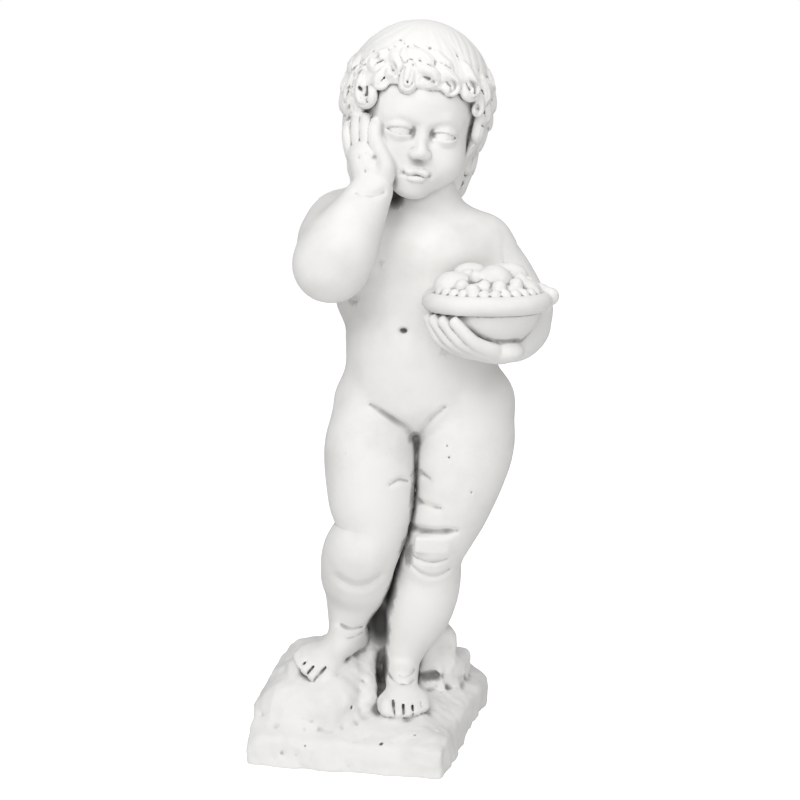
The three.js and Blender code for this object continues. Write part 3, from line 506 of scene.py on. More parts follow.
def eyelids(centre, radius, upper, lower):
    """Lids over an eyeball, open between them like a slice of an orange by the angles given."""
    up, down = radians(upper), radians(lower)
    planes = [([0, sin(up), cos(up)], 0), ([0, sin(down), -cos(down)], 0)]
    slit = stone(planes, [-radius, -radius - 3, -radius], [radius, 0, radius], 0)
    return placed(carved(ball([0, 0, 0], radius), slit), frame_at(centre))


def face():
    clay = Clay([-60, -95, 520], [100, 95, 705])

    def add(shape, blend=0):
        clay.add(head(shape), blend)

    def cut(shape, blend):
        clay.cut(head(shape), blend)

    add(ball([0, 12, 22], [57, 66, 62]))  # skull
    add(ball([0, -17, 27], [46, 42, 39]), 12)  # forehead
    add(ball([0, -12, -17], [47, 44, 42]), 16)  # jaw
    add(ball([0, -40, -49], [17, 15, 12]), 14)  # chin
    add(ball([0, -48, -37], [15, 10, 11]), 8)  # round of the mouth
    for side in SIDES:
        eye = [side * EYE["aside"], EYE["front"], 0]
        add(ball([side * 24, -33, -24], [20, 20, 19]), 14)  # cheek
        cut(ball([eye[0], -66, 3], [13, 12, 9]), 10)  # socket
        cut(ball([side * 10, -58, 1], [4, 7, 6]), 7)  # inner corner
        add(eyelids(eye, EYE["lid"], 20, 14), 1.6)
        add(ball(eye, EYE["radius"]), 0.3)
        cut(strand([[side * 8, -54, 8], [side * 20, -57, 12.5], [side * 34, -46, 7]], [0.6, 1.3, 0.4]), 3)
        add(strand([[side * 9, -52, 13], [side * 20, -51, 16], [side * 32, -43, 12]], [3, 4, 3]), 8)
        add(ball([side * 6, -58, -18.5], [4.6, 5.4, 4]), 2.5)  # wing of the nose
    add(strand([[0, -50, 9], [0, -54, -1], [0, -58, -10], [0, -61, -16]], [3.6, 3.8, 4.4, 5.8]), 5)
    for side in SIDES:
        cut(ball([side * 3.4, -61, -22.8], [1.6, 2.2, 1.6]), 1.5)  # nostril
        add(ball([side * 4.8, -57.5, -33.8], [8.6, 5.2, 3.4], [0, 0, side * 12]), 2)  # upper lip
    add(ball([0, -56.5, -40.2], [9, 5.6, 3.8]), 0.5)  # lower lip
    for side in SIDES:
        cut(ball([side * 13, -58, -36.8], [1.6, 3.4, 1.5]), 5)  # corner of the mouth
    cut(strand([[0, -60.5, -25], [0, -60.5, -30]], [1.2, 1.2]), 2.5)  # groove over the lip
    return clay


def on_hair(bearing, height, lift):
    """A point on the mass of hair, by its bearing from the front and its height as angles."""
    b, h = radians(bearing), radians(height)
    way = np.array([sin(b) * cos(h), -cos(b) * cos(h), sin(h)])
    near, far = HAIR_BETWEEN
    while far - near > CLOSE_ENOUGH:
        middle = (near + far) / 2
        if HAIR.at(*(CAP["centre"] + way * middle)) < lift:
            near = middle
        else:
            far = middle
    return CAP["centre"] + way * near


def lock(clay, place, length, hook, thickness, side, lift, tilt):
    """A lock of hair that flows down, swells, and ends in a hook that turns to the given side.

    Its place is that of the hook's eye. Its place and length are in degrees round the head, its
    hook and thickness in millimetres, and its root leans to the viewer's left by the tilt.
    """
    bearing, height = place
    bend = hook / radians(CAP["size"][0])
    stem = [(1.1, length / bend), (1.25, length / bend * 0.55), (1.1, 0.5)]
    curl = [(cos(radians(turn)), -sin(radians(turn))) for turn in (20, 65, 110, 155)]
    tail = [(-0.95, 0.35), (-0.55, 0.95)]
    ct, st = cos(radians(tilt)), sin(radians(tilt))
    path = [(-side * x * bend, y * bend) for x, y in stem + curl + tail]
    path = [(x * ct - y * st, x * st + y * ct) for x, y in path]

    def on_head(across, up, height_over):
        return on_hair(bearing + across / cos(radians(height + up)), height + up, height_over)

    sunk = np.array([1.1, 0.7, 0.45, 0.4, 0.4, 0.4, 0.4, 0.5, 0.7]) * thickness
    points = np.array([on_head(across, up, lift - depth) for (across, up), depth in zip(path, sunk)])
    swelling = np.array([0.4, 1.0, 1.1, 1.08, 1, 0.92, 0.84, 0.7, 0.45]) * thickness
    outward = points - CAP["centre"]
    outward /= np.linalg.norm(outward, axis=1)[:, None]
    across = np.cross(np.gradient(points, axis=0), outward)
    across /= np.linalg.norm(across, axis=1)[:, None]
    furrow = swelling + np.array([-1, -0.3, 0.9, 1, 1, 1, 1, 1, 1]) * MOAT["width"]
    clay.cut(head(strand(points + outward * MOAT["lift"], furrow, 3)), 0.8)
    clay.add(head(strand(points, swelling, 3)), 1.8)
    for angle in PARTINGS:
        way = outward * cos(radians(angle)) + across * sin(radians(angle))
        widths = np.array([0.1, 0.5, 1, 1, 1, 1, 0.8, 0.5, 0.2]) * 0.16 * thickness
        clay.cut(head(strand(points + way * swelling[:, None], widths, 3)), 0.4)
    gap = max(hook - 0.8 * thickness, 1.3)
    eye = [on_head(-y * st, y * ct, lift - 0.4 * thickness) for y in (0.2, 1.1 * bend)]
    clay.cut(head(strand(eye, [gap, gap * 0.6], 3)), 0.8)


def chance(i, j, k):
    """Random numbers from 0 to 1 at the corners of unit cells."""
    scattered = np.sin(i * 127.1 + j * 311.7 + k * 74.7) * 43758.5453
    return scattered - np.floor(scattered)


def comb(cap):
    """Faint flutes that run down from the whorl on the crown."""
    heights = (80, 66, 52, 38, 24, 8, -12, -34)
    widths = (1.4, 2.0, 2.2, 2.2, 2.2, 2.2, 2.2, 1.6)
    for bearing in np.linspace(0, 350, 36):
        points = []
        for height in heights:
            wave = 26 * sin(radians(height * 2.4 + bearing * 3)) * cos(radians(height))
            points.append(on_hair(bearing + wave, height, 1.8))
        cap.cut(head(strand(points, widths, 4)), 1.2)


def hair(clay):
    cap = Clay([-90, -100, 480], [120, 120, 715])
    cap.add(head(HAIR))
    comb(cap)
    cap.cut(head(block([0, -70, -37], [60, 58, 78], [0, 0, 0], 34)), 3)  # the opening for the face
    # The rows round the sides and back: height, first and last bearing, number of locks
    rows = [(20, 66, 290, 15), (5, 72, 292, 16), (-10, 80, 292, 15), (-25, 78, 292, 15)]
    rows += [(-40, 82, 288, 13), (-55, 86, 280, 10), (-68, 95, 270, 7)]
    for height, first, last, count in rows:
        for i, bearing in enumerate(np.linspace(first, last, count)):
            aside, above, turn, lean = (chance(i, height, draw) - 0.5 for draw in (1, 2, 3, 4))
            side = 1 if turn < 0 else -1
            place = [bearing + 6 * aside, height + 6 * above]
            lock(cap, place, *ROW_LOCK.values(), side, 0, 60 * lean)
    # The fringe: bearing and height of each hook's eye, then length, hook, thickness, side, lift, tilt
    fringe = [
        (-76, -3, 14, 3.8, 3.6, 1, 0.4, 0), (-68, -13, 12, 3.6, 3.4, -1, 0.4, 0),
        (-66, 18, 18, 4.8, 5.0, -1, 0, 0), (-60, 8, 18, 4.8, 5.0, 1, 0.4, -20),
        (57, -16, 18, 4.8, 5.2, 1, 0, 0), (54, -2, 18, 4.8, 5.2, -1, 0, 20),
        (49, 13, 20, 5.0, 5.4, -1, 0.4, 20), (-40, 13, 14, 4.4, 4.8, 1, 0.2, -30),
        (-22, 24, 24, 3.0, 7.0, 1, 0.2, 10), (-49, 25, 18, 5.2, 5.0, 1, 0.6, -40),
        (-32, 22, 20, 5.2, 5.2, -1, 1.2, 45), (-8, 31, 20, 4.4, 5.2, -1, 0, 60),
        (8, 29, 20, 4.4, 5.2, -1, 0, 45), (-3, 20, 22, 4.8, 5.4, -1, 0.8, 75),
        (14, 17, 22, 4.8, 5.4, -1, 1.2, 50), (42, 3, 14, 3.8, 4.2, -1, 0.6, 10),
        (31, 16, 26, 6.0, 5.6, -1, 1.6, 25), (-18, 14, 20, 1.6, 7.2, 1, 1.0, 0),
        (-51, 1, 22, 6.8, 6.4, 1, 1.2, 10),
    ]
    for bearing, height, length, hook, thickness, side, lift, tilt in fringe:
        lock(cap, [bearing, height], length, hook, thickness, side, lift, tilt)
    for notch in NOTCHES:
        points = [on_hair(bearing, height, 2.2) for bearing, height in notch]
        cap.cut(head(strand(points, [1.4, 3.2, 1.2], 5)), 1.6)
    for bearing, height in ((-39, 48), (-23, 46)):
        comma = [on_hair(bearing + aside, height - 0.4 * aside, 0) for aside in (0, 3, 8)]
        cap.cut(head(strand(comma, [1.8, 1.5, 0.4], 4)), 1.5)
    clay.join(cap, 1.2)


# Rock


def cloud(x, y, z):
    """A smooth mix of the random numbers round each point."""
    cells = [np.floor(value) for value in (x, y, z)]
    shares = [smooth_step(0, 1, value - cell) for value, cell in zip((x, y, z), cells)]
    total = 0.0
    for corner in CORNERS:
        weight = 1.0
        for share, step in zip(shares, corner):
            weight = weight * (share if step else 1 - share)
        total = total + weight * chance(*(cell + step for cell, step in zip(cells, corner)))
    return total


# Hollows and swellings, from broad to small: the breadth and depth of each kind
ROUGH_STONE = [(34, 5), (15, 3.4), (7, 1.8), (3.4, 0.5)]
WORN_STONE = [(22, 0.5), (6, 0.16)]
WEATHERED = 6  # how many cells to each side of the surface are weathered with it
# The small broken stones behind the left heel: their number, and where they lie in x, y and z
RUBBLE = {"number": 9, "within": ((30, 60), (20, 60), (44, 90)), "half": (7, 14)}


def weather(clay, kinds):
    """Moves the surface in and out by the given kinds of hollows and swellings."""
    band = np.flatnonzero(np.abs(clay.values) < WEATHERED * CELL)
    steps = np.unravel_index(band, clay.values.shape)
    x, y, z = ((step + start + INTO_CELL) * CELL for step, start in zip(steps, clay.start))
    shift = sum(depth * (cloud(x / breadth, y / breadth, z / breadth) - 0.5) for breadth, depth in kinds)
    clay.values.ravel()[band] += shift.astype(np.float32)


def rock():
    clay = Clay([-175, -140, -8], [130, 155, 235])
    # The slab's walls: the way each faces, and how far out it stands
    front, right, left = [-0.193, -0.981], [0.966, -0.259], [-0.9615, 0.2747]
    planes = [
        ([*front, 0], 106),
        ([*right, 0], 67),
        ([0.22, 0.975, 0], 108),
        ([*left, 0], 122),
        ([0, 0, 1], SLAB_TOP),
        ([front[0] * 0.33, front[1] * 0.33, 0.94], 62),
        ([-0.5, -0.6, 0.62], 131),
        ([right[0] * 0.42, right[1] * 0.42, 0.9], 56),
    ]
    clay.add(stone(planes, [-168, -135, -6], [125, 150, 60], 5))
    clay.add(block([-77, -1, 39], [52, 71, 44], [-13, 9, -12], 30), 12)  # mound under the right foot
    clay.add(block([-38, 0, 48], [15, 50, 32], [-4, 27, 4], 11), 5)  # ridge between the feet
    clay.add(strand([[-4, 46, 50], [-8, 42, 120], [-5, 31, 188]], [37, 31, 19]), 8)  # stump
    clay.add(block([33, 38, 70], [20, 24, 31], [14, -4, 6], 9), 4)  # boulders behind the left heel
    clay.add(block([49, 52, 45], [18, 26, 25], [-18, 4, 8], 9), 4)
    for i in range(RUBBLE["number"]):
        x, y, z = (mix(*ends, chance(i, draw, 5)) for draw, ends in enumerate(RUBBLE["within"]))
        turns = [90 * chance(i, draw, 6) - 45 for draw in range(3)]
        size = [mix(*RUBBLE["half"], chance(i, draw, 7)) for draw in range(3)]
        z = z * (1 - (x - 16) / 130)  # the pile falls off towards the side
        clay.add(block([x, y, z], size, turns, 4), 4)
    # Seats that hold the soles
    clay.add(placed(block([0, -22, -20], [26, 42, 18], [0, 0, 0], 12), RIGHT_FOOT), 12)
    clay.add(placed(block([0, -22, -11], [22, 46, 10], [0, 0, 0], 6), LEFT_FOOT), 10)
    weather(clay, ROUGH_STONE)
    crevice = [[17, -2, 57], [23, 5, 59], [30, 6, 55], [36, 12, 58], [45, 12, 54]]
    clay.cut(strand(crevice, [1.5, 3.6, 2.4, 3.2, 1.2]), 4)  # behind the left heel
    pits = ((-46, 52, 2.2), (-18, 30, 2.4), (14, 36, 1.8), (41, 19, 2), (-90, 24, 1.6))
    for x, z, radius in pits:
        clay.cut(ball(clay.front(x, z), radius), 1)
    return clay


# The whole statue in clay


def arc(x1, z1, x2, z2, sag):
    """Points from one place to another along a line that hangs by the given sag."""
    shares = np.linspace(0, 1, 6)
    return [[mix(x1, x2, t), mix(z1, z2, t) - 4 * sag * t * (1 - t)] for t in shares]


def details(clay):
    """Folds and dimples, by the x and z where they show from the front."""
    clay.groove([[-28, 342], [-10, 330], [6, 318], [15, 306]], 3, 5)  # groin
    clay.groove([[42, 340], [30, 328], [22, 316], [15, 306]], 3, 5)
    clay.cut(ball(clay.front(3, 415), [4.5, 5, 3.2]), 3)  # navel
    clay.groove([[8, 267], [0, 270], [-9, 267]], 2, 5)  # notches where the thighs meet
    clay.groove([[12, 271], [19, 273], [28, 270]], 1.8, 5)
    clay.groove(arc(12, 247, 38, 243, 1), 2.4, 4)  # folds over the left knee
    clay.groove(arc(10, 219, 54, 220, 0.5), 4.4, 4)
    clay.add(block(plus(clay.front(31, 206), [0, 3.4, 0]), [17, 5, 8.5], [0, 8, 3], 3.5), 4)  # kneecap
    clay.groove(arc(12, 193, 46, 191, 4), 1.5, 4)
    clay.groove(arc(11, 182, 48, 178, 8), 1.7, 5)
    clay.groove(arc(-60, 172, -20, 172, 8), 1.0, 12)  # fold under the right knee
    for x, z in ((-38, 574), (-31, 578), (-24, 574), (-32, 562)):
        clay.cut(ball(plus(clay.front(x, z), [0, -1.9, 0]), 3), 2)  # dimples of the right hand
    clay.groove(arc(-40, 543, -14, 543, 3), 0.7, 6)  # crease of the right wrist
    clay.groove(arc(-58, 118, -37, 113, 1.5), 1.5, 4)  # creases of the ankles
    clay.groove(arc(-52, 108, -37, 107, 1), 1, 3)
    clay.groove(arc(-15, 71, 15, 68, 1), 1.5, 3)
    clay.groove(arc(-1, 74, 15, 73, 0.5), 1, 3)
    for x, z, radius in ((44, 304, 1.5), (46, 293, 1.4), (68, 259, 1.6)):
        clay.cut(ball(clay.front(x, z), radius), 0.6)  # pits in the left thigh


def statue_clay(low, high):
    clay = Clay(low, high)
    torso(clay)

    # The thighs melt into the hips at the sides, and stay parted between the legs.
    def hip_blend(x, y, z):
        return mix(4, 16, smooth_step(20, 62, np.abs(x - 16))) * smooth_step(240, 290, z) + 1e-3

    def shoulder_blend(shoulder):
        def blend(x, y, z):
            distance = np.sqrt((x - shoulder[0]) ** 2 + (y - shoulder[1]) ** 2 + (z - shoulder[2]) ** 2)
            return mix(24, 3, smooth_step(36, 84, distance))

        return blend

    clay.join(right_leg(), hip_blend)
    clay.join(left_leg(), hip_blend)
    clay.join(face(), 6)
    hair(clay)
    clay.join(right_arm(), shoulder_blend([-46, 6, 500]))
    clay.join(bowl_of_fruit(), 1.5)
    clay.join(left_arm(), shoulder_blend([82, 6, 494]))
    foot(clay, RIGHT_FOOT, 1)
    foot(clay, LEFT_FOOT, -1)
    details(clay)
    weather(clay, WORN_STONE)
    clay.join(rock(), 2)
    clay.cut(block([0, 0, -50], [400, 400, 50], [0, 0, 0], 0.01))  # the ground
    return clay


# Skinning


def grid_neighbours(axis):
    """Slices that pair each grid point with the next one along an axis."""
    low = [slice(None)] * 3
    high = [slice(None)] * 3
    low[axis], high[axis] = slice(None, -1), slice(1, None)
    return tuple(low), tuple(high)


def skin_of(clay):
    """A point in each cell that the surface passes through, and a face across each line it crosses."""
    inside = clay.values < 0
    count = inside.astype(np.uint8)
    for axis in range(3):
        low, high = grid_neighbours(axis)
        count = count[low] + count[high]
    cells = np.flatnonzero((count > 0) & (count < 8))
    steps = np.stack(np.unravel_index(cells, count.shape), axis=1)

    corner_values = [clay.values[tuple((steps + corner).T)] for corner in CORNERS]
    total = np.zeros((len(cells), 3))
    crossings = np.zeros(len(cells))
    pairs = [(a, b) for a in range(8) for b in range(a)]
    edges = [(a, b) for a, b in pairs if np.abs(np.subtract(CORNERS[a], CORNERS[b])).sum() == 1]
    for a, b in edges:
        crossed = (corner_values[a] < 0) != (corner_values[b] < 0)
        start, end = corner_values[a][crossed], corner_values[b][crossed]
        share = (start / (start - end))[:, None]
        total[crossed] += np.array(CORNERS[a]) + share * np.subtract(CORNERS[b], CORNERS[a])
        crossings[crossed] += 1
    points = (steps + clay.start + INTO_CELL + total / crossings[:, None]) * CELL

    faces = []
    for axis in range(3):
        low, high = grid_neighbours(axis)
        solid_below = inside[low]
        crossed = solid_below != inside[high]
        lines = np.stack(np.nonzero(crossed), axis=1)
        outward = solid_below[crossed]
        ring_cells = []
        for b, c in ((-1, -1), (0, -1), (0, 0), (-1, 0)):
            offset = np.zeros(3, int)
            offset[(axis + 1) % 3], offset[(axis + 2) % 3] = b, c
            flat = np.ravel_multi_index(tuple((lines + offset).T), count.shape)
            ring_cells.append(np.searchsorted(cells, flat))
        quads = np.stack(ring_cells, axis=1)
        quads[~outward] = quads[~outward][:, ::-1]
        faces.append(quads)
    return largest_piece(points, np.concatenate(faces))


def largest_piece(points, faces):
    """Keeps the largest connected piece of a skin, without closed pockets and crumbs."""
    leader = np.arange(len(points))
    while True:
        least = leader[faces].min(axis=1)
        new = leader.copy()
        for corner in range(4):
            np.minimum.at(new, faces[:, corner], least)
        new = new[new]
        if (new == leader).all():
            break
        leader = new
    sizes = np.bincount(leader)
    kept = leader == sizes.argmax()
    place = np.cumsum(kept) - 1
    return points[kept], place[faces[kept[faces[:, 0]]]]


# Cavities: how far the clay round a point fills more or less than half of the space


def cavity_at(clay, points, radius, skip):
    """Below zero in hollows and folds, and above zero on ridges, averaged over the radius."""
    values = np.clip(clay.values[::skip, ::skip, ::skip], -radius, radius).astype(np.float32)
    width = max(int(round(radius / (CELL * skip))), 1)
    for axis in range(3):
        sums = np.cumsum(np.insert(values, 0, 0, axis=axis), axis=axis, dtype=np.float64)
        size = values.shape[axis]
        low = np.clip(np.arange(size) - width, 0, size)
        high = np.clip(np.arange(size) + width + 1, 0, size)
        lengths = (high - low).reshape([-1 if a == axis else 1 for a in range(3)])
        values = ((sums.take(high, axis) - sums.take(low, axis)) / lengths).astype(np.float32)
    places = (points / CELL - clay.start - INTO_CELL) / skip
    base = np.clip(np.floor(places).astype(int), 0, np.array(values.shape) - 2)
    share = places - base
    total = 0.0
    for corner in CORNERS:
        weight = np.prod(np.where(corner, share, 1 - share), axis=1)
        total = total + weight * values[tuple((base + corner).T)]
    return total / radius


# Each size of cavity, with the radius it is averaged over and how many grid points are skipped
CAVITIES = (("fold", 2.6, 1), ("crease", 6, 2), ("hollow", 14, 3))


# The cavities are written to each point, and the stone's colour greys with them: painted shade, with some
# grime
def add_cavities(mesh, clay, points):
    for name, radius, skip in CAVITIES:
        layer = mesh.attributes.new(name, "FLOAT", "POINT")
        layer.data.foreach_set("value", cavity_at(clay, points, radius, skip).astype(np.float32))


# Painted shade, grey laid into the colour between parts and under them, where shade falls: the middle of
# each patch, its half sizes and its strength
PAINTED_SHADE_PATCHES = [
    ([-5, -8, 541], [15, 30, 21], 1.0),  # neck, behind the hand
    ([-10, 8, 150], [14, 30, 36], 1.0),  # between the calves
    ([-20, 10, 112], [17, 34, 32], 1.0),
    ([-18, -10, 74], [8, 26, 30], 1.0),  # inner side of the left foot
    ([30, 8, 57], [17, 16, 7], 0.8),  # behind the left ankle
    ([44, 30, 84], [16, 16, 7], 0.6),
    ([-17, -36, 478], [9, 12, 13], 0.55),  # armpits
    ([-44, -26, 440], [10, 12, 8], 0.5),
    ([98, -30, 384], [16, 30, 16], 0.35),  # under the left hand
    ([52, -60, 400], [22, 24, 14], 0.6),
    ([14, -30, 308], [9, 16, 10], 0.7),  # groin
    ([12, -20, 244], [6, 20, 40], 0.6),  # between the knees
    ([6, -30, 195], [9, 16, 22], 0.7),
    ([-42, -18, 600], [10, 24, 14], 0.6),  # between the hand and the hair
]
SHADE_PATCH_FADES = (1.25, 0.35)  # a patch of painted shade begins and is full at these shares of its half sizes


# Writes the patches of painted shade to each point, for the stone's colour
def add_painted_shade(mesh, points):
    shade_weight = np.zeros(len(points))
    for middle, size, strength in PAINTED_SHADE_PATCHES:
        reach = np.linalg.norm((points - middle) / size, axis=1)
        shade_weight = np.maximum(shade_weight, strength * smooth_step(*SHADE_PATCH_FADES, reach))
    layer = mesh.attributes.new("painted_shade", "FLOAT", "POINT")
    layer.data.foreach_set("value", shade_weight.astype(np.float32))


# The piece


def thinned(mesh_object, target):
    """Collapses edges until the mesh has the target number of triangles."""
    triangles = sum(len(polygon.vertices) - 2 for polygon in mesh_object.data.polygons)
    if triangles <= target:
        return
    decimate = mesh_object.modifiers.new("thin", "DECIMATE")
    decimate.ratio = target / triangles
    graph = bpy.context.evaluated_depsgraph_get()
    thin = bpy.data.meshes.new_from_object(mesh_object.evaluated_get(graph))
    mesh_object.modifiers.clear()
    mesh_object.data = thin


def mesh_of(name, points, faces):
    mesh = bpy.data.meshes.new(name)
    mesh.vertices.add(len(points))
    mesh.vertices.foreach_set("co", points.astype(np.float32).ravel())
    mesh.loops.add(faces.size)
    mesh.loops.foreach_set("vertex_index", faces.astype(np.int32).ravel())
    mesh.polygons.add(len(faces))
    mesh.polygons.foreach_set("loop_start", np.arange(0, faces.size, 4, dtype=np.int32))
    mesh.update(calc_edges=True)
    mesh.validate()
    return mesh


def points_of(mesh):
    points = np.empty(len(mesh.vertices) * 3, np.float32)
    mesh.vertices.foreach_get("co", points)
    return points.reshape(-1, 3).astype(float)


def to_cad_frame(points):
    """Sets the clay's points where the CAD solid stands, inside its box."""
    low, high = (np.array(corner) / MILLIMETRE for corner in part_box("statue"))
    own_low, own_high = points.min(0), points.max(0)
    scale = min(1, *((high - low) / (own_high - own_low))) * INSIDE_BOX
    middle = (own_low + own_high) / 2
    moved = (points - [middle[0], middle[1], own_low[2]]) * scale
    return (moved + [(low[0] + high[0]) / 2, (low[1] + high[1]) / 2, low[2]]) * MILLIMETRE, middle


def statue():
    """Makes the piece, and gives the middle of the clay's box, which the camera is set from."""
    clay = statue_clay(*CLAY_BOX)
    points, faces = skin_of(clay)
    piece = bpy.data.objects.new("statue_carving", mesh_of("statue_carving", points, faces))
    bpy.context.scene.collection.objects.link(piece)
    thinned(piece, TRIANGLES)
    mesh = piece.data
    points = points_of(mesh)
    add_cavities(mesh, clay, points)
    add_painted_shade(mesh, points)
    moved, middle = to_cad_frame(points)
    mesh.vertices.foreach_set("co", moved.astype(np.float32).ravel())
    mesh.update()
    mesh.shade_smooth()
    mesh.materials.append(cast_stone())
    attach(piece, "root")
    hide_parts("statue")
    return middle


# Materials

STONE_WHITE = (0.80, 0.795, 0.78, 1)
WORN_WHITE = (0.70, 0.695, 0.68, 1)
# The grey that the stone's colour turns to in folds, creases, hollows and between parts: painted shade,
# with some grime
SHADE_AND_DIRT_GREY = (0.08, 0.08, 0.078, 1)
GRAIN_DEPTH = 0.0006
FLOOR_GLOW = 0.85  # only what the camera sees of the floor glows, so that it lights nothing


class Nodes:
    """A material's nodes, made and linked by short calls."""

    def __init__(self, name):
        self.material = bpy.data.materials.new(name)
        self.material.use_nodes = True
        self.tree = self.material.node_tree
        self.shader = self.tree.nodes["Principled BSDF"]

    def node(self, kind, inputs=(), **settings):
        made = self.tree.nodes.new(kind)
        for key, value in settings.items():
            setattr(made, key, value)
        for key, value in dict(inputs).items():
            self.plug(value, made.inputs[key])
        return made

    def plug(self, value, socket):
        if isinstance(value, bpy.types.NodeSocket):
            self.tree.links.new(value, socket)
        else:
            socket.default_value = value

    def noise(self, scale, detail=4, roughness=0.55):
        place = self.node("ShaderNodeTexCoord").outputs["Object"]
        inputs = {"Vector": place, "Scale": scale, "Detail": detail, "Roughness": roughness}
        return self.node("ShaderNodeTexNoise", inputs).outputs["Fac"]

    def ramp(self, value, low, high, to_low=0.0, to_high=1.0):
        inputs = {"Value": value, "From Min": low, "From Max": high, "To Min": to_low, "To Max": to_high}
        return self.node("ShaderNodeMapRange", inputs, interpolation_type="SMOOTHSTEP").outputs["Result"]

    def maths(self, operation, a, b):
        return self.node("ShaderNodeMath", {0: a, 1: b}, operation=operation).outputs[0]

    def mixed(self, share, a, b):
        made = self.node("ShaderNodeMix", data_type="RGBA")
        self.plug(share, made.inputs["Factor"])
        self.plug(a, made.inputs[6])
        self.plug(b, made.inputs[7])
        return made.outputs[2]


def cast_stone():
    nodes = Nodes("cast_stone")
    fold, crease, hollow, painted_shade = (
        nodes.node("ShaderNodeAttribute", attribute_name=name).outputs["Fac"]
        for name in ("fold", "crease", "hollow", "painted_shade")
    )
    broad = nodes.noise(11, 5)
    colour = nodes.mixed(nodes.ramp(broad, 0.45, 0.72), STONE_WHITE, WORN_WHITE)
    # Painted shade, with some grime: the colour greys in folds, creases and hollows, where shade falls,
    # broken into patches by noise
    in_fold = nodes.ramp(fold, -0.06, -0.26)
    in_crease = nodes.ramp(crease, -0.09, -0.34, 0.0, 0.8)
    in_hollow = nodes.ramp(hollow, -0.14, -0.40, 0.0, 0.9)
    patchy = nodes.ramp(nodes.noise(55, 6, 0.65), 0.30, 0.62, 0.5, 1.0)
    deepest = nodes.maths("MAXIMUM", in_fold, nodes.maths("MAXIMUM", in_crease, in_hollow))
    shade_and_dirt = nodes.maths("MULTIPLY", deepest, patchy)
    # The patches of painted shade are laid as grains and blots that run together where the shade is
    # deepest.
    blots = nodes.maths("ADD", nodes.noise(120, 6, 0.7), nodes.maths("MULTIPLY", painted_shade, 0.7))
    shade_and_dirt = nodes.maths("MAXIMUM", shade_and_dirt, nodes.maths("MULTIPLY", nodes.ramp(blots, 0.6, 0.95), painted_shade))
    colour = nodes.mixed(shade_and_dirt, colour, SHADE_AND_DIRT_GREY)
    nodes.plug(colour, nodes.shader.inputs["Base Color"])
    nodes.shader.inputs["Roughness"].default_value = 0.88
    nodes.shader.inputs["Specular IOR Level"].default_value = 0.3
    grain = nodes.noise(900, 3, 0.6)
    pits = nodes.ramp(nodes.noise(260, 4, 0.6), 0.62, 0.74)
    height = nodes.maths("SUBTRACT", nodes.maths("MULTIPLY", grain, 0.5), pits)
    relief = {"Height": height, "Strength": 0.25, "Distance": GRAIN_DEPTH}
    bump = nodes.node("ShaderNodeBump", relief)
    nodes.plug(bump.outputs["Normal"], nodes.shader.inputs["Normal"])
    return nodes.material


def floor_paint():
    nodes = Nodes("floor")
    nodes.shader.inputs["Base Color"].default_value = (0.9, 0.9, 0.9, 1)
    nodes.shader.inputs["Roughness"].default_value = 0.9
    nodes.shader.inputs["Emission Color"].default_value = (1, 1, 1, 1)
    seen = nodes.node("ShaderNodeLightPath").outputs["Is Camera Ray"]
    nodes.plug(nodes.maths("MULTIPLY", seen, FLOOR_GLOW), nodes.shader.inputs["Emission Strength"])
    return nodes.material


# Floor, light and camera, in metres

FLOOR = {"half": 12.0, "under": 0.0005}
# Each lamp: its name, place, size and power
LAMPS = [
    ("key", (-0.8, -1.4, 1.9), 1.2, 20),
    ("front", (0.4, -2.6, 0.8), 4.0, 50),
    ("top", (0.6, -0.2, 2.0), 2.0, 8),
]
LIT = (0, 0, 0.4)  # the place that the lamps are turned to
AMBIENT = 0.35
BACKDROP = 1.0  # what the camera sees behind the floor


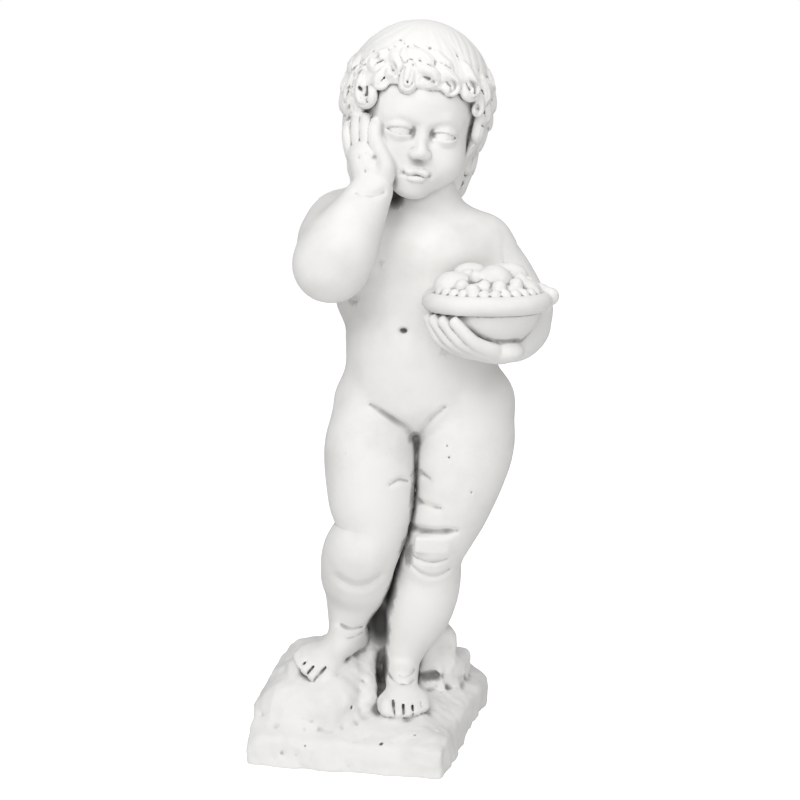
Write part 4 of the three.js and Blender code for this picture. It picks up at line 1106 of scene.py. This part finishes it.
def floor():
    half = FLOOR["half"]
    corners = [(-half, -half, 0), (half, -half, 0), (half, half, 0), (-half, half, 0)]
    mesh = bpy.data.meshes.new("floor")
    mesh.from_pydata(corners, [], [(0, 1, 2, 3)])
    mesh.materials.append(floor_paint())
    plane = bpy.data.objects.new("floor", mesh)
    bpy.context.scene.collection.objects.link(plane)
    plane.location.z = -FLOOR["under"]


def soft_light(name, place, size, power):
    lamp = bpy.data.lights.new(name, "AREA")
    lamp.shape = "SQUARE"
    lamp.size = size
    lamp.energy = power
    holder = bpy.data.objects.new(name, lamp)
    holder.location = place
    holder.rotation_euler = (Vector(LIT) - Vector(place)).to_track_quat("-Z", "Y").to_euler()
    bpy.context.scene.collection.objects.link(holder)


def studio():
    for lamp in LAMPS:
        soft_light(*lamp)
    world = bpy.data.worlds.new("studio")
    world.use_nodes = True
    tree = world.node_tree
    ambient = tree.nodes["Background"]
    ambient.inputs["Color"].default_value = (1, 1, 1, 1)
    ambient.inputs["Strength"].default_value = AMBIENT
    backdrop = tree.nodes.new("ShaderNodeBackground")
    backdrop.inputs["Color"].default_value = (1, 1, 1, 1)
    backdrop.inputs["Strength"].default_value = BACKDROP
    seen = tree.nodes.new("ShaderNodeLightPath").outputs["Is Camera Ray"]
    choice = tree.nodes.new("ShaderNodeMixShader")
    tree.links.new(seen, choice.inputs[0])
    tree.links.new(ambient.outputs[0], choice.inputs[1])
    tree.links.new(backdrop.outputs[0], choice.inputs[2])
    tree.links.new(choice.outputs[0], tree.nodes["World Output"].inputs["Surface"])
    bpy.context.scene.world = world


# The camera's place in the clay's millimetres, how many degrees it looks down, its lens and sensor
CAMERA = {"place": [0, -1500, 600], "pitch": 9.84, "lens": 70.8, "sensor": 36}


def camera(middle):
    lens = bpy.data.cameras.new("camera")
    lens.lens = CAMERA["lens"]
    lens.sensor_width = CAMERA["sensor"]
    eye = bpy.data.objects.new("camera", lens)
    place = np.array(CAMERA["place"], float) - [middle[0], middle[1], 0]
    eye.location = place * MILLIMETRE
    eye.rotation_euler = (radians(90 - CAMERA["pitch"]), 0, 0)
    bpy.context.scene.collection.objects.link(eye)
    bpy.context.scene.camera = eye


middle = statue()
floor()
studio()
camera(middle)
bpy.context.scene.view_settings.view_transform = "Standard"
